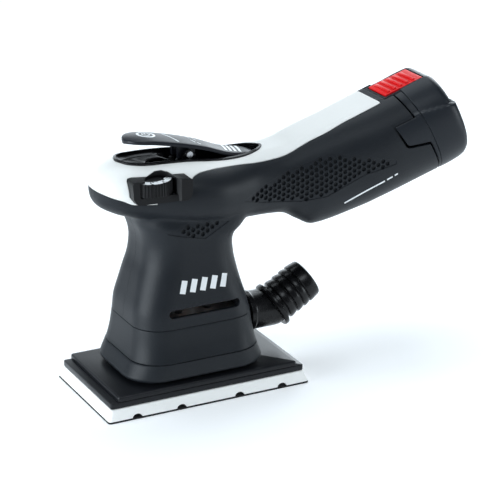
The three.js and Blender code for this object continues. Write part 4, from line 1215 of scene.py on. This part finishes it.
lever = {
    "sections": [  # x, height of the top at the middle, half width
        [-36.6, 159.6, 1.5], [-35.4, 160.3, 5], [-32.5, 160.9, 8.4], [-28, 161, 10.4],
        [-22, 160.5, 11.2], [-8, 157.6, 11.2], [1.5, 155.2, 11], [13, 151.7, 10.6],
        [20, 148.9, 10.2], [27, 146.1, 9.6], [34, 144.2, 8.8], [42, 142.8, 6.8],
        [47, 141.2, 4.6], [50.4, 139.9, 1.5],
    ],
    "widest": 11.2,
    "thickness": 2.4,
    "crown": 1.3,
    "soft": 0.7,
    "pivot": [1.5, 147.5],
    "pin": 2,
    "pinGap": 0.05,
    "clear": 0.6,
    "block": [5.5, 144.6, 152.5],  # half size, low and high
    "springSlot": [9, 2.9, 140, 150.9],  # half length, half width, low and high
    "travel": [0, 1.5, 3, 4.5, 6, 7.5, 9],
}


def leverSag(y):  # how much lower the crowned top is away from the middle
    return lever["crown"] * (y / lever["widest"]) ** 2


def leverRings(gap, below=0, above=0, spread=0, rounded=True):
    shares = [1 - k / 6 for k in range(13)]
    rings = []
    for x, top, halfWidth in smoothRows(lever["sections"], gap):
        w = halfWidth + spread
        soft = min(lever["soft"] if rounded else 0.01, w * 0.4)
        bottom = top - lever["thickness"] - below
        high, low = top + above - leverSag(w), bottom - leverSag(w)
        near, off = w - soft * 0.3, soft * 0.3
        side = [(near, high - off), (w, high - soft), (w, low + soft), (near, low + off)]
        flats = [(w - soft) * share for share in shares]
        ring = [(x, y, top - leverSag(y) + above) for y in flats]
        ring += [(x, -y, z) for y, z in side]
        ring += [(x, -y, bottom - leverSag(y)) for y in flats]
        ring += [(x, y, z) for y, z in reversed(side)]
        rings.append(ring)
    return rings


def pressed(piece, degrees):
    x, z = lever["pivot"]
    choose(piece, "VERT", lambda vertex: True)
    turn = math.radians(degrees)
    bpy.ops.transform.rotate(value=turn, orient_axis="Y", center_override=(x * mm, 0, z * mm))
    closeEdit()
    return piece


def makeLever():
    x, z = lever["pivot"]
    plate = loftPiece("leverPlate", leverRings(0.9))
    half, low, high = lever["block"]
    join(plate, box("under", x - half, x + half, -half, half, low, high))
    length, width, low, high = lever["springSlot"]
    cut(plate, box("springSlot", x - length, x + length, -width, width, low, high))
    cut(plate, rod("bore", lever["pin"] + lever["pinGap"], (x, -12, z), (x, 12, z), 40))
    finishPiece(plate, "leverPlastic", "black_plastic", "lever", "lever", angle=32)
    print("lever made")
    return plate


def topAt(x):  # height of the skin's top line
    rows = skin["head"]
    for first, second in zip(rows, rows[1:]):
        if first[0] <= x <= second[0]:
            share = (x - first[0]) / (second[0] - first[0])
            return first[1] + (second[1] - first[1]) * share
    return rows[-1][1]


def resampled(ring, count):  # the same closed line with another number of points
    lengths = [0.0]
    closed = [*ring, ring[0]]
    for first, second in zip(closed, closed[1:]):
        lengths.append(lengths[-1] + math.dist(first, second))
    made = []
    k = 0
    for i in range(count):
        target = lengths[-1] * i / count
        while lengths[k + 1] < target:
            k += 1
        share = (target - lengths[k]) / (lengths[k + 1] - lengths[k])
        made.append(tuple(p + (q - p) * share for p, q in zip(closed[k], closed[k + 1])))
    return made


def trayBowl():
    shallow, deeper = tray["depth"]
    bowl = []
    for share, inset in tray["bowl"]:
        ring = []
        for x, y in trayOutline(inset, 1.4):
            deep = shallow + deeper * ramp(x, *tray["pit"]) ** 2
            fall = -20 if share < 0 else deep * share
            ring.append((x, y, topAt(x) - fall + (0.6 if share == 0 else 0)))
        bowl.append(ring)
    count = min(len(ring) for ring in bowl)
    return loftPiece("bowl", [resampled(ring, count) for ring in bowl])


def leverSweep(turn):  # the room that the lever's rear takes when it is pressed this far
    rings = leverRings(4, lever["clear"], 20, lever["clear"], False)
    sweep = pressed(loftPiece("sweep", rings), turn)
    return cut(sweep, box("front", -60, 8, -40, 40, 90, 230))


def trayCheek(side):  # holds one end of the lever's pin
    cheek = tray["cheek"]
    x, z = lever["pivot"]
    y0, y1 = sorted(side * y for y in cheek["y"])
    piece = box("cheek", x - cheek["half"], x + cheek["half"], y0, y1, cheek["low"], z)
    join(piece, rod("knuckle", lever["pin"] + cheek["wall"], (x, y0, z), (x, y1, z), 40))
    bore = lever["pin"] + cheek["pinGap"]
    return cut(piece, rod("bore", bore, (x, y0 - 1, z), (x, y1 + 1, z), 40))


def makeTray():
    body = uprightPrism("leverTray", trayOutline(0, 1), tray["base"], 165)
    end, height = tray["under"]
    cut(body, box("under", -60, end, -40, 40, 120, height))
    keepWithin(body, grownSkin(tray["proud"]))
    cut(body, trayBowl())
    for turn in lever["travel"]:
        cut(body, leverSweep(turn))
    for side in (-1, 1):
        join(body, trayCheek(side))
    x, y, radius = tray["plunger"]
    cut(body, rod("plunger", radius, (x, y, 120), (x, y, 138), 32))
    finishPiece(body, "trayGloss", "gloss_plastic", "housing", "lever_tray")
    print("tray made")


leverPlate = makeLever()
makeTray()


def printedMark(name, ribbons, onto, start, way, look, slotName, body, lift=0.05, thick=0.12):
    points, faces = [], []
    for ribbon in ribbons:  # rows of points across the mark
        first = len(points)
        wide = len(ribbon[0])
        for row in ribbon:
            for point in row:
                hit, place, normal, _ = onto.ray_cast(start(*point), Vector(way))
                if not hit:
                    raise ValueError(name + " misses its surface")
                points.append(place / mm + normal * lift)
        for r in range(len(ribbon) - 1):
            for k in range(wide - 1):
                a = first + r * wide + k
                faces.append((a, a + 1, a + 1 + wide, a + wide))
    mark = meshPiece(name, points, faces)
    choose(mark, "FACE", lambda face: face.normal.dot(Vector(way)) > 0)
    bpy.ops.mesh.flip_normals()
    bpy.ops.mesh.select_all(action="SELECT")
    bpy.ops.mesh.remove_doubles(threshold=2e-6)
    closeEdit()
    modify(mark, "SOLIDIFY", thickness=thick * mm, offset=-1)
    return finishPiece(mark, look, slotName, body)


def barRows(x0, y0, x1, y1, width, steps=10):  # a straight bar between two places
    along = Vector((x1 - x0, y1 - y0)).normalized()
    side = Vector((-along.y, along.x)) * width / 2
    rows = []
    for k in range(steps + 1):
        middle = Vector((x0, y0)).lerp(Vector((x1, y1)), k / steps)
        rows.append([tuple(middle + side), tuple(middle), tuple(middle - side)])
    return rows


def arcRows(x, y, inner, outer, start=0, end=360, steps=56):
    rows = []
    for k in range(steps + 1):
        turn = math.radians(start + (end - start) * k / steps)
        radii = (inner, (inner + outer) / 2, outer)
        rows.append([(x + r * math.cos(turn), y + r * math.sin(turn)) for r in radii])
    return rows


def fromAbove(x, y):
    return Vector((x * mm, y * mm, 0.2))


def fromNearSide(x, z):
    return Vector((x * mm, -0.2, z * mm))


leverMarks = {
    "icon": {"x": -22, "y": 0.6, "ring": [4.2, 5.7], "arc": [1.9, 2.7], "bar": [0.4, 3.3, 0.8]},
    "slash": [-9.8, 4.6, -5, -8.6, 1.1],
    "stripes": {"first": 28.4, "pitch": 3.1, "count": 4, "length": 12.6, "width": 1.5, "slant": 1.3},
    "dashes": [(5.5, 5, 6), (8.2, 1.5, 5), (5.5, -2.2, 7), (8.2, -5.5, 4)],  # x, y and length
}


def makeLeverMarks():
    def marked(name, ribbons, look):
        way = (0, 0, -1)
        printedMark(name, ribbons, leverPlate, fromAbove, way, look, "cover_plastic", "lever")

    icon = leverMarks["icon"]
    x, y = icon["x"], icon["y"]
    low, high, width = icon["bar"]
    marked("leverIcon", [
        arcRows(x, y, *icon["ring"]),
        arcRows(x, y, *icon["arc"], 130, 410, 36),
        barRows(x, y + low, x, y + high, width, 4),
    ], "brightInk")
    stripes = leverMarks["stripes"]
    half, slant = stripes["length"] / 2, stripes["slant"]
    bars = []
    for k in range(stripes["count"]):
        x = stripes["first"] + k * stripes["pitch"]
        bars.append(barRows(x + slant, half, x - slant, -half, stripes["width"]))
    marked("leverStripes", bars, "brightInk")
    small = [barRows(*leverMarks["slash"], 12)]
    for x, y, length in leverMarks["dashes"]:
        small.append(barRows(x, y, x + 1.5, y - length / 2, 0.7, 6))
    marked("leverDashes", small, "paleInk")
    print("lever marks made")


makeLeverMarks()


bodyMarks = {
    "neck": {
        "first": -12.4, "pitch": 6.6, "count": 5, "low": 69.2, "high": 77, "slant": 2, "width": 3.7,
    },
    "handle": [  # both ends and the width of each line
        [98.7, 106.1, 124.6, 117.5, 1.1], [126, 118.1, 129.6, 119.7, 1.1],
        [131, 120.3, 133, 121.2, 1.1],
    ],
}


def makeBodyMarks():
    def marked(name, ribbons):
        nearSide, way = bpy.data.objects["shellLeft"], (0, 1, 0)
        printedMark(
            name, ribbons, nearSide, fromNearSide, way, "brightInk", "cover_plastic", "housing"
        )

    neck = bodyMarks["neck"]
    lean = neck["slant"] / 2
    bars = []
    for k in range(neck["count"]):
        x = neck["first"] + k * neck["pitch"]
        bars.append(barRows(x - lean, neck["low"], x + lean, neck["high"], neck["width"], 12))
    marked("neckStripes", bars)
    marked("handleStripe", [barRows(*row, 24) for row in bodyMarks["handle"]])
    print("body marks made")


makeBodyMarks()


# dial and its frame

def makeBezel():
    x, y = dial["x"], dial["y"]
    room = bezel["room"]
    bottom, top = dial["bottom"] - room["below"], dial["top"] + room["above"]
    surround = cut(grownSkin(bezel["proud"]), grownSkin(-skin["wall"]))
    join(surround, uprightPrism("block", bezel["face"], bezel["base"], bezel["roof"]))
    hood = bezel["hood"]
    hoodX, hoodY, radius = hood["x"], hood["y"], hood["radius"]
    cap = rod("hood", radius + hood["wall"], (hoodX, hoodY, 138), (hoodX, hoodY, 150), 72)
    join(surround, keepWithin(cap, grownSkin(hood["proud"])))
    keepWithin(surround, bezelRoom(0, bezel["innerY"]))
    half, low, high = bezel["shelf"]
    join(surround, box("shelf", x - half, x + half, -28, bezel["innerY"], low, high))
    wide = dial["radius"] + room["around"]
    cut(surround, rod("room", wide, (x, y, bottom), (x, y, top), 96))
    x0, x1 = bezel["opening"]
    cut(surround, box("opening", x0, x1, -45, -24, bottom, top))
    cut(surround, rod("window", radius, (hoodX, hoodY, 139), (hoodX, hoodY, 160), 72))
    cut(surround, rod("shaft", bezel["shaft"], (x, y, 120), (x, y, 140), 32))
    surround.name = "dialFrame"
    finishPiece(surround, "bezelPlastic", "black_plastic", "housing", "dial_bezel")


def everyOther(face):  # every second face round the dial
    turn = math.atan2(face.normal.y, face.normal.x) % (2 * math.pi)
    place = round(turn / (2 * math.pi) * dial["ribs"] * 2 - 0.5)
    return abs(face.normal.z) < 0.5 and place % 2 == 0


def onRim(edge):
    atTop = all(abs(vertex.co.z - dial["top"] * mm) < 1e-5 for vertex in edge.verts)
    return sharpEdge(edge) and atTop and edge.calc_length() < 3 * mm


def makeWheel():
    x, y, bottom, top = dial["x"], dial["y"], dial["bottom"], dial["top"]
    radius = dial["radius"]
    wheel = rod("speedDial", radius - dial["ribDepth"], (x, y, bottom), (x, y, top), dial["ribs"] * 2)
    choose(wheel, "FACE", everyOther)
    edge, depth = dial["groove"]
    bpy.ops.mesh.inset(thickness=edge * mm, depth=depth * mm, use_individual=True)
    closeEdit()
    bevelEdges(wheel, dial["rimBevel"], 2, onRim)
    floor = top - dial["recessDepth"]
    cut(wheel, rod("recess", radius - dial["recess"], (x, y, floor), (x, y, top + 1), 72))
    hub = rod("hub", radius - dial["hub"], (x, y, top - 1), (x, y, top + dial["hubRise"]), 72)
    bevelEdges(hub, dial["hubBevel"], 3, lambda e: sharpEdge(e) and e.verts[0].co.z > top * mm)
    join(wheel, hub)
    cut(wheel, rod("bore", dial["bore"], (x, y, bottom - 1), (x, y, top - 1.5), 32))
    return finishPiece(wheel, "bezelPlastic", "black_plastic", "dial", "speed_dial")


def makeDigit(k):
    digits = dial["digits"]
    turn = math.radians(digits["first"] + digits["pitch"] * k)
    bpy.ops.object.select_all(action="DESELECT")
    bpy.ops.object.text_add()
    text = bpy.context.object
    text.data.body = str(k + 1)
    text.data.size = digits["size"] * mm
    text.data.align_x = "CENTER"
    text.data.align_y = "CENTER"
    text.data.extrude = 0.05 * mm
    bpy.ops.object.convert(target="MESH")
    digit = bpy.context.object
    reach = (dial["radius"] - digits["inset"]) * mm
    x, y = dial["x"] * mm + reach * math.cos(turn), dial["y"] * mm + reach * math.sin(turn)
    digit.location = (x, y, (dial["top"] + digits["lift"]) * mm)
    digit.rotation_euler = (0, 0, turn + math.pi / 2)
    return settle(digit)


def makeDial():
    wheel = makeWheel()
    outer, inner = (dial["radius"] - inset for inset in reversed(dial["scale"]))
    ring = [arcRows(dial["x"], dial["y"], inner, outer, 0, 360, 96)]
    way = (0, 0, -1)
    printedMark(
        "dialScale", ring, wheel, fromAbove, way, "brightInk", "cover_plastic", "dial", 0.08, 0.14
    )
    selectOnly(*[makeDigit(k) for k in range(dial["digits"]["count"])])
    bpy.ops.object.join()
    numbers = bpy.context.object
    numbers.name = "dialNumbers"
    finishPiece(numbers, "bezelPlastic", "black_plastic", "dial")
    print("dial made")


makeBezel()
makeDial()


# battery, drawn along the handle

def creaseHeight(along):
    rows = battery["crease"]
    for (s0, n0), (s1, n1) in zip(rows, rows[1:]):
        if along <= s1:
            return n0 + (n1 - n0) * (along - s0) / (s1 - s0)
    return rows[-1][1]


def batteryRing(along, grow, lean, count=200):
    start, span, gained = battery["lift"]
    bottom = handleBottom + gained * ramp(along, start, span) ** 2
    middle, half = (handleTop + bottom) / 2, (handleTop - bottom) / 2
    stepped, power = battery["step"], 2 / skin["power"]
    ring = []
    for k in range(count):
        angle = 2 * math.pi * k / count
        c, s = math.cos(angle), math.sin(angle)
        y = math.copysign(abs(c) ** power, c) * (battery["halfWidth"] + grow)
        up = math.copysign(min(1, abs(s) ** power / handleCrown), s)
        n = middle + up * (half + grow)
        place = along + lean * (handleTop - n)
        rise = min(1, max(0, (n - creaseHeight(place)) / stepped["soft"] + 0.5))
        step = rise * rise * (3 - 2 * rise) * stepped["depth"]
        if abs(y) > stepped["clear"]:
            y -= math.copysign(min(step, abs(y) - stepped["clear"]), y)
        place -= step * ramp(along, *battery["fade"])
        ring.append((place, y, n))
    return onSlope(ring)


def batteryBody(name, rows, gap=1.4):
    return loftPiece(name, [batteryRing(*row) for row in smoothRows(rows, gap)])


def stemBar(name, s0, s1, grow):
    stem = battery["stem"]
    w, low, high = stem["halfWidth"] + grow, stem["low"] - grow, stem["high"] + grow
    chamfer = stem["chamfer"]
    section = [
        (w - chamfer, low), (w, low + chamfer), (w, high - chamfer), (w - chamfer, high),
        (chamfer - w, high), (-w, high - chamfer), (-w, low + chamfer), (chamfer - w, low),
    ]
    return loftPiece(name, [onSlope([(s, y, n) for y, n in section]) for s in (s0, s1)])


def latchRoom():
    pocket = battery["pocket"]
    halfWidth = pocket["halfWidth"]
    return slopedBox("latchRoom", *pocket["along"], -halfWidth, halfWidth, pocket["floor"], 130)


def makeLug(side):
    lug = battery["lug"]
    y0, y1 = sorted(side * y for y in lug["y"])
    piece = slopedPrism("lug", insetOutline(battery["notch"], lug["inset"]), y0, y1)
    rows = [[along, -lug["under"], rimTilt] for along in (150, 189)]
    return keepWithin(piece, batteryBody("lugSkin", rows))


def makeBatteryFront():
    along, wall = battery["stem"]["along"], battery["wall"]
    front = batteryBody("batteryFront", battery["frontEdge"])
    join(front, stemBar("plug", along, battery["stem"]["plugEnd"], 0))
    for side in (-1, 1):
        join(front, makeLug(side))
    cup, pocket = battery["cup"], battery["pocket"]
    start, half = pocket["along"][0] - cup["ahead"], pocket["halfWidth"] + wall
    top = handleTop - cup["below"]
    join(front, slopedBox("cup", start, cup["end"], -half, half, cup["floor"], top))
    rows = [[place, 20, rimTilt] for place in (battery["seam"], battery["seam"] + 60)]
    behind = batteryBody("behind", rows, 30)
    terminals = battery["terminals"]
    before, after = terminals["along"]
    ends = (along - before, along + after)
    slots = []
    for y in (-terminals["y"], terminals["y"]):
        slots.append(slopedBox("slot", *ends, y - wall, y + wall, *terminals["across"]))
    hollow = stemBar("hollow", along + battery["hollow"]["front"], pastRear, -wall)
    cut(front, behind, hollow, latchRoom(), *slots)
    finishPiece(front, "batteryPlastic", "black_plastic", "battery", "battery_front")


def makeBatteryRear():
    rear = batteryBody("batteryRear", battery["end"])
    cut(rear, stemBar("hollow", *battery["hollow"]["rear"], -battery["wall"]), latchRoom())
    finishPiece(rear, "batteryPlastic", "black_plastic", "battery", "battery_rear")


def makeLatchButton():
    sizes = battery["button"]
    s0, s1 = sizes["along"]
    halfWidth, top = sizes["halfWidth"], handleTop + sizes["proud"]
    button = slopedBox("latchButton", s0, s1, -halfWidth, halfWidth, top - sizes["height"], top)
    bevelEdges(button, sizes["bevel"], 3, sharpEdge)
    middle = (s0 + s1) / 2
    (x0, z0), (x1, z1) = handlePoint(middle, top - 5), handlePoint(middle, top - 1.5)
    cut(button, rod("springSeat", sizes["springSeat"], (x0, 0, z0), (x1, 0, z1), 40))
    pitch = (s1 - s0 - sizes["ends"]) / sizes["ribs"]
    start, halfRib = s0 + sizes["ribStart"], halfWidth - sizes["ribInset"]
    end, ribTop = start + pitch * sizes["ribShare"], top + sizes["ribHeight"]
    rib = slopedBox("rib", start, end, -halfRib, halfRib, top - 1, ribTop)
    bevelEdges(rib, sizes["ribBevel"], 2, sharpEdge)
    for k in range(sizes["ribs"]):
        copy = duplicate(rib, "ribCopy")
        x, z = handlePoint(k * pitch, 0)
        copy.location = (x * mm, 0, z * mm)
        join(button, settle(copy))
    remove(rib)
    finishPiece(button, "buttonRed", "red_plastic", "latch", "latch_button")


makeBatteryFront()
makeBatteryRear()
makeLatchButton()
print("battery made")


# finishes of the pieces kept from the frame

def numbered(stem, count):
    return ["%s_%d" % (stem, k) for k in range(1, count + 1)]


kept = {
    "steel": [
        "pad_bearing", "lower_bearing", "upper_bearing", "rotor", "lever_pin", "lever_spring",
        "latch_spring",
    ],
    "darkSteel": ["eccentric", "dial_pot", *numbered("pad_screw", 4), *numbered("shell_screw", 5)],
    "castAluminium": ["pad_hub", "motor_plate", "end_bell"],
    "windings": ["stator"],
    "board": ["control_board"],
    "innerPlastic": ["fan", "micro_switch", "terminal_block"],
    "rubber": ["nozzle_seal", *numbered("elastic_post", 4)],
    "cellWrap": numbered("battery_cell", 4),
}
for look, nodes in kept.items():
    for node in nodes:
        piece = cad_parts[node]
        piece.data.materials.clear()
        piece.data.materials.append(finish[look])
print("kept pieces finished")


# floor

bpy.ops.object.select_all(action="DESELECT")
bpy.ops.mesh.primitive_plane_add(size=12, location=(0, 0, 0))
floor = bpy.context.object
floor.name = "floor"
floor.data.materials.append(makeFloor())

remove(outerSkin)
